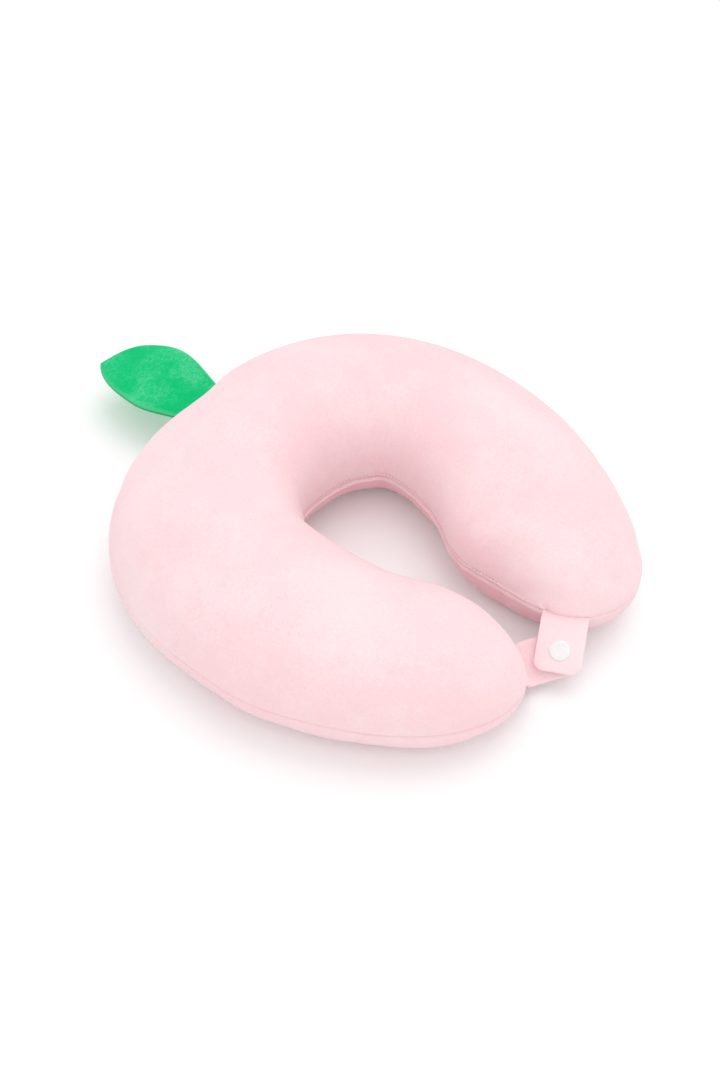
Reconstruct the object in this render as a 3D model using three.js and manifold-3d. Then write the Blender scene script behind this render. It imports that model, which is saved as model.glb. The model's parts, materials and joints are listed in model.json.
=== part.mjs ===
// A horseshoe-shaped neck pillow with a leaf at the back and two tabs that snap together across its mouth.
// Millimetres, +Z up. While it is built, the neck's centre is the origin and the leaf points to +Y.
import * as THREE from "three";
import { mergeVertices } from "three/addons/utils/BufferGeometryUtils.js";
import Module from "manifold-3d";

const wasm = await Module();
wasm.setup();
const rad = THREE.MathUtils.degToRad;

// The roll, measured at four stations: the back, the rear side, the front side and the arm's tip.
const REACH = [82.2, 96.8, 102.9, 137.8]; // neck's centre to the middle of the roll
const HALF_WIDTH = [54.9, 52.7, 54.6, 49.6];
const CROWN_HEIGHT = [95, 85.7, 76.7, 65.6];
const LEAN = [-0.12, -0.07, 0.01, 0.06]; // sideways lean of the crown, as a share of the half width
const SEAM_HEIGHT = 27.3;
const SINK = 6; // how far the full round of the underside would reach below the flat base
// Each arm's end: its bearing from the back, the length over which it rounds off, and how blunt
// it is, where 2 is an elliptical end.
const LEFT_TIP = { angle: rad(173.6), round: 66, fullness: 2.65 };
const RIGHT_TIP = { angle: rad(171), round: 40, fullness: 1.9 };
// Beside the leaf the left arm swells into the neck's opening.
const SWELL = { angle: rad(-58), depth: 12, span: rad(34) };
const UPPER_OUTER_FULLNESS = 1.86;
const UPPER_INNER_FULLNESS = 2.46;
const LOWER_FULLNESS = 2.02;

// The layers, from the outside in. GAP is the clearance between pieces that touch.
const GAP = 0.3;
const COVER = 1.8;
const LINER = 0.6;
const LINER_DEPTH = COVER + GAP;
const CORE_DEPTH = LINER_DEPTH + LINER + GAP;
const SEAT_GAP = 0.6; // from the liner to what is sewn into the cover

// How finely the soft solids are divided.
const TIP_ROWS = 6;
const ROLL_ROWS = 26;
const TOP_STEPS = 10;
const FLANK_STEPS = 3;
const BASE_STEPS = 2;

// The leaf: two panels and a wadding, hinged just outside the seam.
const LEAF_BEARING = rad(4.6); // where its root is sewn, from the back towards +X
const LEAF_NECK = 3.2; // seam to fold
const LEAF_ROOT_WIDTH = 32;
const LEAF_LENGTH = 84;
const LEAF_SWEEP = 17; // how far the tip bends along the seam
const LEAF_BULGE = 20.5; // how much each side of the blade is wider than its tapering root
const LEAF_CURL = 4; // how far the right side's middle is raised
const LEAF_EDGE = 2.6; // thickness at the stitched edge and the root
const LEAF_PLUMP = 8; // thickness in the middle
const LEAF_FABRIC = 1;
const LEAF_ROWS = 12;
const LEAF_STEPS = 10;

// The tabs: two layers of fabric each.
const TAB_WIDTH = 27.5;
const TAB_THICKNESS = 2;
const TAB_LAYER_GAP = 0.2;
const TAB_CORNER = 6;
const TAB_NECK = 4.5; // seam to fold, on the right tab
const ROOT_SEAT = LINER_DEPTH - SEAT_GAP; // how deep a sewn root lies in the cover
const RIGHT_TAB_BEARING = rad(211.3); // the way the right tab leaves the arm, from +X towards +Y
const RIGHT_TAB_LENGTH = 30; // fold to free end
const RIGHT_TAB_SLOPE = rad(27); // down from the seam's level
const RIGHT_SNAP = 17; // fold to snap
const LEFT_ROOT_BEARING = rad(-15); // the way the seam faces where the left tab is sewn
const LEFT_TAB_BEARING = rad(-28); // the way its flap runs under the right tab
const LEFT_ROOT_LEVEL = 1.5; // how far its root runs level before it drops
const LEFT_ROOT_HANDLE = 0.36; // how gently it bends, as a share of its length
const LEFT_ROOT_STEPS = 8;
const LEFT_SNAP = 17;
const LEFT_TAB_END = 9.5; // snap to free end

// The snap. Each half's cap has a post that is riveted through the fabric.
const CAP_RADIUS = 6.2;
const CAP_HEIGHT = 1.2;
const CAP_EDGE = 0.25; // its rounded rim
const CAP_SHOULDER = 1.2; // the width of the slope round its face
const POST_RADIUS = 1;
const POST_HOLE = POST_RADIUS + GAP;
const SNAP_GAP = 0.2;
const SOCKET_RADIUS = 5;
const SOCKET_HEIGHT = 2;
const SOCKET_WEB = 0.7;
const SOCKET_BORE = 2.8;
const STUD_RADIUS = 2.3;
const STUD_PLATE = 0.7;
const STUD_HEIGHT = 1.2;

// The zip, which lies in the seam along a true arc.
const ZIP_START = rad(20); // bearings on the roll, from the back towards +X
const ZIP_END = rad(86);
const TAPE_WIDTH = 5.2;
const TAPE_THICKNESS = 0.8;
const TAPE_SET_IN = LINER_DEPTH - SEAT_GAP - TAPE_THICKNESS; // the tape's outer face, inside the arc
const CHAIN_HALF = 1.5; // half the height of the closed chain
const CHAIN_THICKNESS = 1.4;
const CHAIN_SET_IN = 0.2;
const TOOTH_PITCH = 4;
const TOOTH_RISE = 1.2;
const STOP_LENGTH = 3;
const SLIDER_LENGTH = 9;
const SLIDER_HEIGHT = 8;
const SLIDER_PLATE = 1;
const SLIDER_STANDOFF = 0.3; // arc to the slider's plate
const CHEEK_THICKNESS = 0.8;
const CHEEK_LENGTH = 3.4;
const PIN_RADIUS = 0.6;
const PIN_STANDOFF = 2; // the plate's face to the pin's centre
const PULL_LENGTH = 18;
const PULL_WIDTH = 6;
const PULL_NECK = 2.6;
const PULL_THICKNESS = 1;
const PULL_WALL = 0.7; // round the pin's hole
const PULL_SHOULDER = [4.5, 6.5]; // from the pin, where the pull widens
const CHEEK_WALL = 0.5; // beyond the pin
const PIN_END = 0.4; // how far the pin is let into each cheek

const pillow = new THREE.Group();

function material(colour, roughness, metalness = 0) {
  return new THREE.MeshStandardMaterial({ color: colour, roughness, metalness });
}
const PINK = 0xf9d9de;
const GREEN = 0x35c986;
const WHITE = 0xfdfdfd;
const velour = () => material(PINK, 0.95);
const lining = () => material(0xf3eeee, 0.9);
const plush = () => material(GREEN, 0.95);
const plastic = (colour) => material(colour, 0.3);

// ---- Solids ----

// A closed indexed geometry from triangles given as corner points, facing out.
function closedGeometry(corners) {
  const loose = new THREE.BufferGeometry().setFromPoints(corners);
  const merged = mergeVertices(loose, 1e-4);
  const index = merged.index.array;
  const kept = [];
  for (let i = 0; i < index.length; i += 3) {
    const [a, b, c] = index.subarray(i, i + 3);
    if (a !== b && b !== c && c !== a) kept.push(a, b, c);
  }
  const at = (i) => new THREE.Vector3().fromBufferAttribute(merged.attributes.position, i);
  let volume = 0;
  for (let i = 0; i < kept.length; i += 3) {
    volume += at(kept[i]).dot(at(kept[i + 1]).cross(at(kept[i + 2])));
  }
  if (volume < 0) kept.reverse();
  return merged.setIndex(kept);
}

// Two triangles for each cell of a grid of points, turned over if flip is true.
function gridCorners(grid, flip = false) {
  const corners = [];
  for (let i = 0; i + 1 < grid.length; i++) {
    for (let j = 0; j + 1 < grid[i].length; j++) {
      const [a, b, c, d] = [grid[i][j], grid[i + 1][j], grid[i + 1][j + 1], grid[i][j + 1]];
      corners.push(...(flip ? [a, c, b, a, d, c] : [a, b, c, a, c, d]));
    }
  }
  return corners;
}

// The solid between two grids of the same size, closed round their edges.
function sheetBetween(outer, inner) {
  const column = (grid, j) => grid.map((row) => row[j]);
  const last = outer.length - 1;
  const end = outer[0].length - 1;
  return closedGeometry([
    ...gridCorners(outer),
    ...gridCorners(inner, true),
    ...gridCorners([inner[0], outer[0]]),
    ...gridCorners([outer[last], inner[last]]),
    ...gridCorners([column(outer, 0), column(inner, 0)]),
    ...gridCorners([column(inner, end), column(outer, end)]),
  ]);
}

function toManifold(geometry) {
  const bare = geometry.clone();
  for (const name of Object.keys(bare.attributes)) {
    if (name !== "position") bare.deleteAttribute(name);
  }
  const merged = mergeVertices(bare, 1e-4);
  return new wasm.Manifold(
    new wasm.Mesh({
      numProp: 3,
      vertProperties: merged.attributes.position.array,
      triVerts: new Uint32Array(merged.index.array),
    }),
  );
}

function fromManifold(solid) {
  const mesh = solid.getMesh();
  return new THREE.BufferGeometry()
    .setAttribute("position", new THREE.BufferAttribute(mesh.vertProperties, 3))
    .setIndex(new THREE.BufferAttribute(mesh.triVerts, 1));
}

const join = (geometries) => fromManifold(geometries.map(toManifold).reduce((a, b) => a.add(b)));
const cut = (geometry, cutters) =>
  fromManifold(cutters.map(toManifold).reduce((a, b) => a.subtract(b), toManifold(geometry)));
const common = (a, b) => fromManifold(toManifold(a).intersect(toManifold(b)));

function box(x0, x1, y0, y1, z0, z1) {
  return new THREE.BoxGeometry(x1 - x0, y1 - y0, z1 - z0).translate(
    (x0 + x1) / 2,
    (y0 + y1) / 2,
    (z0 + z1) / 2,
  );
}

function addMesh(parent, name, geometry, finish) {
  geometry.computeVertexNormals();
  const mesh = new THREE.Mesh(geometry, finish);
  mesh.name = name;
  parent.add(mesh);
  return mesh;
}

// ---- The roll's surface ----

// A size that changes smoothly from the back station to the tip station, at angle t from the back.
function around([back, rear, front, tip], t) {
  return (
    (back + 2 * rear + 2 * front + tip) / 6 +
    ((back + rear - front - tip) / 3) * Math.cos(t) +
    ((back - rear - front + tip) / 3) * Math.cos(2 * t) +
    ((back - 2 * rear + 2 * front - tip) / 6) * Math.cos(3 * t)
  );
}

const angleAt = (k) => THREE.MathUtils.lerp(-LEFT_TIP.angle, RIGHT_TIP.angle, k);

class Centreline extends THREE.Curve {
  getPoint(k, target = new THREE.Vector3()) {
    const t = angleAt(k);
    const reach = around(REACH, t);
    return target.set(reach * Math.sin(t), reach * Math.cos(t), SEAM_HEIGHT);
  }
}
const centreline = new Centreline();
centreline.arcLengthDivisions = 600;
const tipOf = (u) => (u < 0.5 ? LEFT_TIP : RIGHT_TIP);
const tipShare = (tip) => tip.round / centreline.getLength();

// How full the section is at share u of the centreline: 0 at a tip, 1 once the arm is rounded off.
function fullness(u) {
  const tip = tipOf(u);
  const q = THREE.MathUtils.clamp(Math.min(u, 1 - u) / tipShare(tip), 0, 1);
  return (1 - (1 - q) ** tip.fullness) ** (1 / tip.fullness);
}

const power = (x, e) => Math.sign(x) * Math.abs(x) ** e;

// A point of the cover's outer surface. v runs from the outer seam over the crown to the inner
// seam at half a turn, and back under the base.
function surface(u, v) {
  const k = centreline.getUtoTmapping(u);
  const t = angleAt(k);
  const full = fullness(u);
  const middle = centreline.getPoint(k);
  const along = centreline.getTangent(k);
  const outward = new THREE.Vector3(-along.y, along.x, 0);
  const half = around(HALF_WIDTH, t) * full;
  const [c, s] = [Math.cos(v), Math.sin(v)];
  const upper = s >= 0;
  const roundness = upper ? (c >= 0 ? UPPER_OUTER_FULLNESS : UPPER_INNER_FULLNESS) : LOWER_FULLNESS;
  const height = power(s, 2 / roundness);
  let sideways = half * power(c, 2 / roundness);
  let z = SEAM_HEIGHT + (SEAM_HEIGHT + SINK) * full * height;
  sideways -= SWELL.depth * Math.exp(-(((t - SWELL.angle) / SWELL.span) ** 2)) * Math.min(0, c) ** 2;
  if (upper) {
    sideways += around(LEAN, t) * half * height;
    z = SEAM_HEIGHT + (around(CROWN_HEIGHT, t) - SEAM_HEIGHT) * full * height;
  }
  return middle.addScaledVector(outward, sideways).setZ(Math.max(0, z));
}

// Shares of the centreline at which the solids have a ring of points.
function ringShares() {
  const fromTip = (tip) => {
    const shares = [];
    for (let i = 0; i < TIP_ROWS; i++) {
      const q = 1 - Math.cos(((i / TIP_ROWS) * Math.PI) / 2) ** (2 / tip.fullness);
      shares.push(q * tipShare(tip));
    }
    return shares;
  };
  const roll = [];
  for (let i = 0; i <= ROLL_ROWS; i++) {
    roll.push(THREE.MathUtils.lerp(tipShare(LEFT_TIP), 1 - tipShare(RIGHT_TIP), i / ROLL_ROWS));
  }
  const rightEnd = fromTip(RIGHT_TIP).map((u) => 1 - u);
  return [...fromTip(LEFT_TIP), ...roll, ...rightEnd.reverse()];
}

// Angles of a ring's points from v = 0 round to a full turn. The flat base starts where the round
// underside would pass below the floor.
function ringAngles(u) {
  const reach = SEAM_HEIGHT / ((SEAM_HEIGHT + SINK) * Math.max(fullness(u), 1e-6));
  const flat = Math.min(Math.asin(Math.min(1, reach) ** (LOWER_FULLNESS / 2)), rad(80));
  const angles = [];
  const span = (from, to, steps) => {
    for (let i = 0; i < steps; i++) angles.push(from + ((to - from) * i) / steps);
  };
  span(0, Math.PI, TOP_STEPS);
  span(Math.PI, Math.PI + flat, FLANK_STEPS);
  span(Math.PI + flat, 2 * Math.PI - flat, BASE_STEPS);
  span(2 * Math.PI - flat, 2 * Math.PI, FLANK_STEPS);
  return [...angles, 2 * Math.PI];
}

const shares = ringShares();
const outside = shares.map((u) => ringAngles(u).map((v) => surface(u, v)));
const SEAM_COLUMNS = [0, TOP_STEPS, outside[0].length - 1];

// The way out of the surface at each point: level at the seam and straight down under the base.
const outwards = outside.map((ring, i) =>
  ring.map((point, j) => {
    if (i === 0 || i === outside.length - 1) {
      return centreline.getTangentAt(shares[i]).multiplyScalar(i ? 1 : -1);
    }
    if (point.z < 1e-6) return new THREE.Vector3(0, 0, -1);
    const columns = ring.length - 1;
    const before = ring[(j - 1 + columns) % columns];
    const after = ring[(j + 1) % columns];
    const along = outside[i + 1][j].clone().sub(outside[i - 1][j]);
    const out = along.cross(after.clone().sub(before)).negate();
    if (SEAM_COLUMNS.includes(j)) out.z = 0;
    return out.normalize();
  }),
);

// The surface at a depth below the cover's outside, between two columns of points. Its seam
// edges are lifted by the given amount.
function layer(depth, first, last, lift = 0) {
  return outside.map((ring, i) =>
    ring.slice(first, last + 1).map((point, j) => {
      const moved = point.clone().addScaledVector(outwards[i][first + j], -depth);
      const isEdge = j === 0 || j === last - first || i === 0 || i === outside.length - 1;
      if (isEdge) moved.z += lift;
      return moved;
    }),
  );
}

const COLUMNS = outside[0].length - 1;
const panel = (top, depth, thickness) => {
  const [first, last, lift] = top ? [0, TOP_STEPS, GAP / 2] : [TOP_STEPS, COLUMNS, -GAP / 2];
  return sheetBetween(layer(depth, first, last, lift), layer(depth + thickness, first, last, lift));
};

// ---- Places on the seam ----

// A point of the seam with the level direction out of it.
function seamAt(u, v) {
  const step = 1e-4;
  const side = Math.cos(v) > 0 ? 1 : -1;
  const before = surface(Math.max(0, u - step), v);
  const along = surface(Math.min(1, u + step), v).sub(before);
  const out = new THREE.Vector3(-along.y, along.x, 0).normalize().multiplyScalar(side);
  return { point: surface(u, v), out };
}

// The place on an arm's end where the seam faces the given bearing, from +X towards +Y.
function tipSeamFacing(tip, bearing) {
  const wanted = new THREE.Vector3(Math.cos(bearing), Math.sin(bearing), 0);
  let best;
  for (let i = 1; i < 400; i++) {
    const share = (tipShare(tip) * (i / 400) ** 2) / 2;
    for (const v of [0, Math.PI]) {
      const place = seamAt(tip === LEFT_TIP ? share : 1 - share, v);
      place.match = place.out.dot(wanted);
      if (!best || place.match > best.match) best = place;
    }
  }
  return best;
}

// A frame with its origin at a point, X along a direction and Z as near to up as that allows.
function frameAt(point, along, up = new THREE.Vector3(0, 0, 1)) {
  const x = along.clone().normalize();
  const y = up.clone().cross(x).normalize();
  const z = x.clone().cross(y);
  return new THREE.Matrix4().makeBasis(x, y, z).setPosition(point);
}

function groupAt(matrix, parent = pillow) {
  const group = new THREE.Group();
  matrix.decompose(group.position, group.quaternion, group.scale);
  parent.add(group);
  return group;
}

// ---- The zip ----

// The circle through three points of the seam.
function arcThrough(a, b, c) {
  const [d, e] = [b.clone().sub(a), c.clone().sub(a)];
  const cross = 2 * (d.x * e.y - d.y * e.x);
  const x = (e.y * d.lengthSq() - d.y * e.lengthSq()) / cross;
  const y = (d.x * e.lengthSq() - e.x * d.lengthSq()) / cross;
  return { centre: new THREE.Vector3(a.x + x, a.y + y, 0), radius: Math.hypot(x, y) };
}

const shareAtBearing = (t) => {
  let [low, high] = [0, 1];
  for (let i = 0; i < 40; i++) {
    const mid = (low + high) / 2;
    if (angleAt(centreline.getUtoTmapping(mid)) < t) low = mid;
    else high = mid;
  }
  return low;
};
const seamAtBearing = (t) => seamAt(shareAtBearing(t), 0);

const [zipStart, zipMiddle, zipEnd] = [ZIP_START, (ZIP_START + ZIP_END) / 2, ZIP_END].map(
  (t) => seamAtBearing(t).point,
);
const zipArc = arcThrough(zipStart, zipMiddle, zipEnd);
const angleOf = (p) => Math.atan2(p.y - zipArc.centre.y, p.x - zipArc.centre.x);
const zipFrom = angleOf(zipEnd);
const zipTo = angleOf(zipStart);
const turnFor = (length) => length / zipArc.radius; // the angle of a length along the arc

// A block that follows the zip's arc, about the arc's centre and the seam's height.
function arcBlock(inner, outer, from, to, z0, z1, segments = 28) {
  const shape = new THREE.Shape();
  shape.absarc(0, 0, zipArc.radius + outer, from, to, false);
  shape.absarc(0, 0, zipArc.radius + inner, to, from, true);
  return new THREE.ExtrudeGeometry(shape, {
    depth: z1 - z0,
    bevelEnabled: false,
    curveSegments: segments,
  }).translate(0, 0, z0);
}

// Half of the chain: a strip whose free edge rises and falls once for each tooth. The two
// halves' edges are parallel, GAP apart.
function chainHalf(side) {
  const teeth = Math.round(((zipTo - zipFrom) * zipArc.radius) / TOOTH_PITCH);
  const middle = (side * GAP) / 2;
  const rings = [];
  for (let i = 0; i <= 2 * teeth; i++) {
    const angle = THREE.MathUtils.lerp(zipFrom, zipTo, i / (2 * teeth));
    const edge = middle + (i % 2 ? TOOTH_RISE : -TOOTH_RISE) / 2;
    const corner = (set, z) => {
      const r = zipArc.radius - set;
      return new THREE.Vector3(r * Math.cos(angle), r * Math.sin(angle), z);
    };
    const [near, far] = [CHAIN_SET_IN, CHAIN_SET_IN + CHAIN_THICKNESS];
    const back = side * CHAIN_HALF;
    rings.push([corner(near, back), corner(far, back), corner(far, edge), corner(near, edge)]);
  }
  const closed = rings.map((ring) => [...ring, ring[0]]);
  const cap = (ring) => [ring[0], ring[1], ring[2], ring[0], ring[2], ring[3]];
  const [first, last] = [rings[0], rings[rings.length - 1]];
  return closedGeometry([...gridCorners(closed), ...cap(first), ...cap(last).reverse()]);
}

const zipGroup = groupAt(
  new THREE.Matrix4().makeTranslation(zipArc.centre.x, zipArc.centre.y, SEAM_HEIGHT),
);
const tapeTop = CHAIN_HALF + GAP + TAPE_WIDTH;
const stopSpan = turnFor(STOP_LENGTH);
const gapSpan = turnFor(GAP);
const windowSpan = stopSpan + 2 * gapSpan;

function zipTape(side) {
  const near = side * (CHAIN_HALF + GAP);
  const far = side * tapeTop;
  const outer = -TAPE_SET_IN;
  return arcBlock(
    outer - TAPE_THICKNESS,
    outer,
    zipFrom - windowSpan + gapSpan,
    zipTo + windowSpan - gapSpan,
    Math.min(near, far),
    Math.max(near, far),
  );
}

const zipStop = (from) =>
  arcBlock(-CHAIN_SET_IN - CHAIN_THICKNESS, 0, from, from + stopSpan, -CHAIN_HALF, CHAIN_HALF, 2);

// Where the covers are open for the zip, in the pillow's frame.
function zipWindow() {
  const high = tapeTop + GAP;
  return arcBlock(-2 * COVER, 8, zipFrom - windowSpan, zipTo + windowSpan, -high, high).translate(
    zipArc.centre.x,
    zipArc.centre.y,
    SEAM_HEIGHT,
  );
}

// The slider's frame has X out of the seam and Y along it, and the closed end of the zip is at
// the end that is nearer to the leaf.
const sliderHalf = turnFor(SLIDER_LENGTH) / 2;
const sliderAngle = zipTo - sliderHalf - gapSpan;

function zipSlider() {
  const plate = [SLIDER_STANDOFF, SLIDER_STANDOFF + SLIDER_PLATE];
  const cheekInner = PULL_NECK / 2 + GAP;
  const cheekSpan = turnFor(CHEEK_LENGTH) / 2;
  const cheeks = [-1, 1].map((side) => {
    const [a, b] = [side * cheekInner, side * (cheekInner + CHEEK_THICKNESS)];
    const rise = plate[1] + PIN_STANDOFF + PIN_RADIUS + CHEEK_WALL;
    return arcBlock(
      (plate[0] + plate[1]) / 2,
      rise,
      sliderAngle - cheekSpan,
      sliderAngle + cheekSpan,
      Math.min(a, b),
      Math.max(a, b),
      2,
    );
  });
  const body = arcBlock(
    plate[0],
    plate[1],
    sliderAngle - sliderHalf,
    sliderAngle + sliderHalf,
    -SLIDER_HEIGHT / 2,
    SLIDER_HEIGHT / 2,
    4,
  );
  const pinAt = zipArc.radius + plate[1] + PIN_STANDOFF;
  const pin = new THREE.CylinderGeometry(PIN_RADIUS, PIN_RADIUS, 2 * (cheekInner + PIN_END), 12)
    .rotateX(Math.PI / 2)
    .translate(pinAt * Math.cos(sliderAngle), pinAt * Math.sin(sliderAngle), 0);
  return join([body, ...cheeks, pin]);
}

// The pull, in a frame at the pin with X out of the seam and Y along it.
function zipPull() {
  const eye = PIN_RADIUS + GAP + PULL_WALL;
  const [narrow, wide] = PULL_SHOULDER;
  const [hw, hn, t] = [PULL_WIDTH / 2, PULL_NECK / 2, PULL_THICKNESS / 2];
  const ring = new THREE.CylinderGeometry(eye, eye, PULL_NECK, 20).rotateX(Math.PI / 2);
  const neck = box(-t, t, -wide + t, 0, -hn, hn);
  const shape = new THREE.Shape();
  shape.moveTo(-narrow, -hn);
  shape.lineTo(-wide, -hw);
  shape.lineTo(-PULL_LENGTH + hw, -hw);
  shape.absarc(-PULL_LENGTH + hw, 0, hw, -Math.PI / 2, Math.PI / 2, true);
  shape.lineTo(-wide, hw);
  shape.lineTo(-narrow, hn);
  shape.closePath();
  const blade = new THREE.ExtrudeGeometry(shape, {
    depth: PULL_THICKNESS,
    bevelEnabled: false,
    curveSegments: 8,
  })
    .translate(0, 0, -t)
    .applyMatrix4(
      new THREE.Matrix4().makeBasis(
        new THREE.Vector3(0, 1, 0),
        new THREE.Vector3(0, 0, 1),
        new THREE.Vector3(1, 0, 0),
      ),
    );
  const bore = new THREE.CylinderGeometry(PIN_RADIUS + GAP, PIN_RADIUS + GAP, 10, 16).rotateX(
    Math.PI / 2,
  );
  return cut(join([ring, neck, blade]), [bore]);
}

addMesh(zipGroup, "zip_tape_upper", zipTape(1), material(PINK, 0.8));
addMesh(zipGroup, "zip_tape_lower", zipTape(-1), material(PINK, 0.8));
addMesh(zipGroup, "zip_teeth_upper", chainHalf(1), plastic(PINK));
addMesh(zipGroup, "zip_teeth_lower", chainHalf(-1), plastic(PINK));
addMesh(zipGroup, "zip_top_stop", zipStop(zipTo + gapSpan), plastic(PINK));
addMesh(zipGroup, "zip_bottom_stop", zipStop(zipFrom - gapSpan - stopSpan), plastic(PINK));
addMesh(zipGroup, "zip_slider", zipSlider(), plastic(PINK));
const pinReach = zipArc.radius + SLIDER_STANDOFF + SLIDER_PLATE + PIN_STANDOFF;
const pullGroup = new THREE.Group();
pullGroup.position.set(pinReach * Math.cos(sliderAngle), pinReach * Math.sin(sliderAngle), 0);
pullGroup.rotation.z = sliderAngle;
zipGroup.add(pullGroup);
addMesh(pullGroup, "zip_pull", zipPull(), plastic(PINK));

// ---- The leaf ----

// Leaf coordinates: X out from the fold, Y along the seam, Z up.
const leafHalfWidth = (a) =>
  (LEAF_ROOT_WIDTH / 2) * (1 - a) ** 0.8 + LEAF_BULGE * Math.sin(Math.PI * a ** 1.4) ** 0.75;
const leafCurl = (a, b) => (LEAF_CURL * Math.sin(Math.PI * a) ** 1.5 * (1 - b)) / 2;
const leafPoint = (a, b, z) =>
  new THREE.Vector3(
    a * LEAF_LENGTH,
    b * leafHalfWidth(a) + a ** 2.5 * LEAF_SWEEP,
    z + leafCurl(a, b),
  );
const leafHalfThickness = (a, b) =>
  LEAF_EDGE / 2 +
  ((LEAF_PLUMP - LEAF_EDGE) / 2) * Math.sqrt(Math.max(0, (1 - b * b) * Math.sin(Math.PI * a)));

// A grid over the leaf's outline, drawn in by the given shares, at a height for each point.
function leafGrid(inset, height) {
  const grid = [];
  for (let i = 0; i <= LEAF_ROWS; i++) {
    const row = [];
    const a = THREE.MathUtils.lerp(inset.root, 1 - inset.tip, i / LEAF_ROWS);
    for (let j = 0; j <= LEAF_STEPS; j++) {
      const b = -Math.cos((Math.PI * j) / LEAF_STEPS) * (1 - inset.side);
      row.push(leafPoint(a, b, height(a, b)));
    }
    grid.push(row);
  }
  return grid;
}

function leafPanel(side) {
  const edge = GAP / 2;
  const whole = { root: 0, tip: 0.004, side: 0 };
  const outer = leafGrid(whole, (a, b) => side * leafHalfThickness(a, b));
  const inner = leafGrid(whole, (a, b) => side * Math.max(edge, leafHalfThickness(a, b) - LEAF_FABRIC));
  const blade = sheetBetween(outer, inner);
  const fold = LEAF_EDGE / 2;
  const barrel = new THREE.CylinderGeometry(fold, fold, LEAF_ROOT_WIDTH, 16);
  const half = common(
    barrel,
    side > 0 ? box(-fold, fold, -50, 50, edge, 9) : box(-fold, fold, -50, 50, -9, -edge),
  );
  return join([blade, half]);
}

function leafWadding() {
  const inset = { root: 0.1, tip: 0.1, side: 0.16 };
  const height = (a, b) => leafHalfThickness(a, b) - LEAF_FABRIC - GAP;
  return sheetBetween(
    leafGrid(inset, height),
    leafGrid(inset, (a, b) => -height(a, b)),
  );
}

// The outer seam as it is built, straight from one ring to the next, at a share of the centreline.
// Where the seam is hollow across the given width, the place moves out to the seam's outermost ring.
function builtSeamAt(u, width) {
  const next = shares.findIndex((share) => share > u);
  const [before, after] = [outside[next - 1][0], outside[next][0]];
  const point = before.clone().lerp(after, (u - shares[next - 1]) / (shares[next] - shares[next - 1]));
  const along = after.clone().sub(before).normalize();
  const out = new THREE.Vector3(-along.y, along.x, 0);
  const offsets = outside.map((ring) => ring[0].clone().sub(point));
  const near = offsets.filter((offset) => Math.abs(offset.dot(along)) < width);
  const rise = Math.max(0, ...near.map((offset) => offset.dot(out)));
  return { point: point.addScaledVector(out, rise > GAP ? rise : 0), out };
}

const leafSeam = builtSeamAt(shareAtBearing(LEAF_BEARING), LEAF_ROOT_WIDTH);
const leafFold = leafSeam.point.clone().addScaledVector(leafSeam.out, LEAF_NECK);
const leafGroup = groupAt(frameAt(leafFold, leafSeam.out));
addMesh(leafGroup, "leaf_upper", leafPanel(1), plush());
addMesh(leafGroup, "leaf_lower", leafPanel(-1), plush());
addMesh(leafGroup, "leaf_wadding", leafWadding(), lining());

// ---- The tabs ----

// A sewn root: a flat piece from inside the cover to just short of the fold. grow widens it to
// the slot that the cover needs for it.
function sewnRoot(width, thickness, neck, grow = 0) {
  const inner = -neck - ROOT_SEAT - grow;
  const outer = grow ? 2 : -thickness / 2 - GAP;
  const [w, t] = [width / 2 + grow, thickness / 2 + grow];
  return box(inner, outer, -w, w, -t, t);
}

// One layer of a tab: X runs from the fold to the free end, whose corners are rounded. Half of
// the round fold belongs to it.
function tabLayer(length, side, snapAt) {
  const [w, c, half] = [TAB_WIDTH / 2, TAB_CORNER, TAB_THICKNESS / 2];
  const shape = new THREE.Shape();
  shape.moveTo(0, -w);
  shape.lineTo(length - c, -w);
  shape.absarc(length - c, -w + c, c, -Math.PI / 2, 0, false);
  shape.absarc(length - c, w - c, c, 0, Math.PI / 2, false);
  shape.lineTo(0, w);
  shape.closePath();
  const plate = new THREE.ExtrudeGeometry(shape, {
    depth: TAB_THICKNESS,
    bevelEnabled: false,
    curveSegments: 6,
  }).translate(0, 0, -half);
  const barrel = new THREE.CylinderGeometry(half, half, TAB_WIDTH, 16);
  const [a, b] = [(side * TAB_LAYER_GAP) / 2, side * (half + 1)];
  const slab = box(-9, length + 9, -w - 9, w + 9, Math.min(a, b), Math.max(a, b));
  const hole = new THREE.CylinderGeometry(POST_HOLE, POST_HOLE, 9, 20)
    .rotateX(Math.PI / 2)
    .translate(snapAt, 0, 0);
  return cut(common(join([plate, barrel]), slab), [hole]);
}

const turned = (profile) =>
  new THREE.LatheGeometry(
    profile.map(([r, z]) => new THREE.Vector2(r, z)),
    32,
  ).rotateX(Math.PI / 2);

// A cap with its post. Z = 0 is the cap's flat face, which the fabric lies against.
function snapCap(postLength) {
  return turned([
    [0, -postLength],
    [POST_RADIUS, -postLength],
    [POST_RADIUS, 0],
    [CAP_RADIUS - CAP_EDGE, 0],
    [CAP_RADIUS, CAP_EDGE],
    [CAP_RADIUS - CAP_EDGE, 3 * CAP_EDGE],
    [CAP_RADIUS - CAP_SHOULDER, CAP_HEIGHT - CAP_EDGE / 3],
    [0, CAP_HEIGHT],
  ]);
}

// The socket, with Z = 0 at the fabric and its bore opening downwards.
function snapSocket() {
  return turned([
    [POST_HOLE, -SOCKET_WEB],
    [SOCKET_BORE, -SOCKET_WEB],
    [SOCKET_BORE, -SOCKET_HEIGHT],
    [SOCKET_RADIUS, -SOCKET_HEIGHT],
    [SOCKET_RADIUS, 0],
    [POST_HOLE, 0],
    [POST_HOLE, -SOCKET_WEB],
  ]);
}

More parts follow.
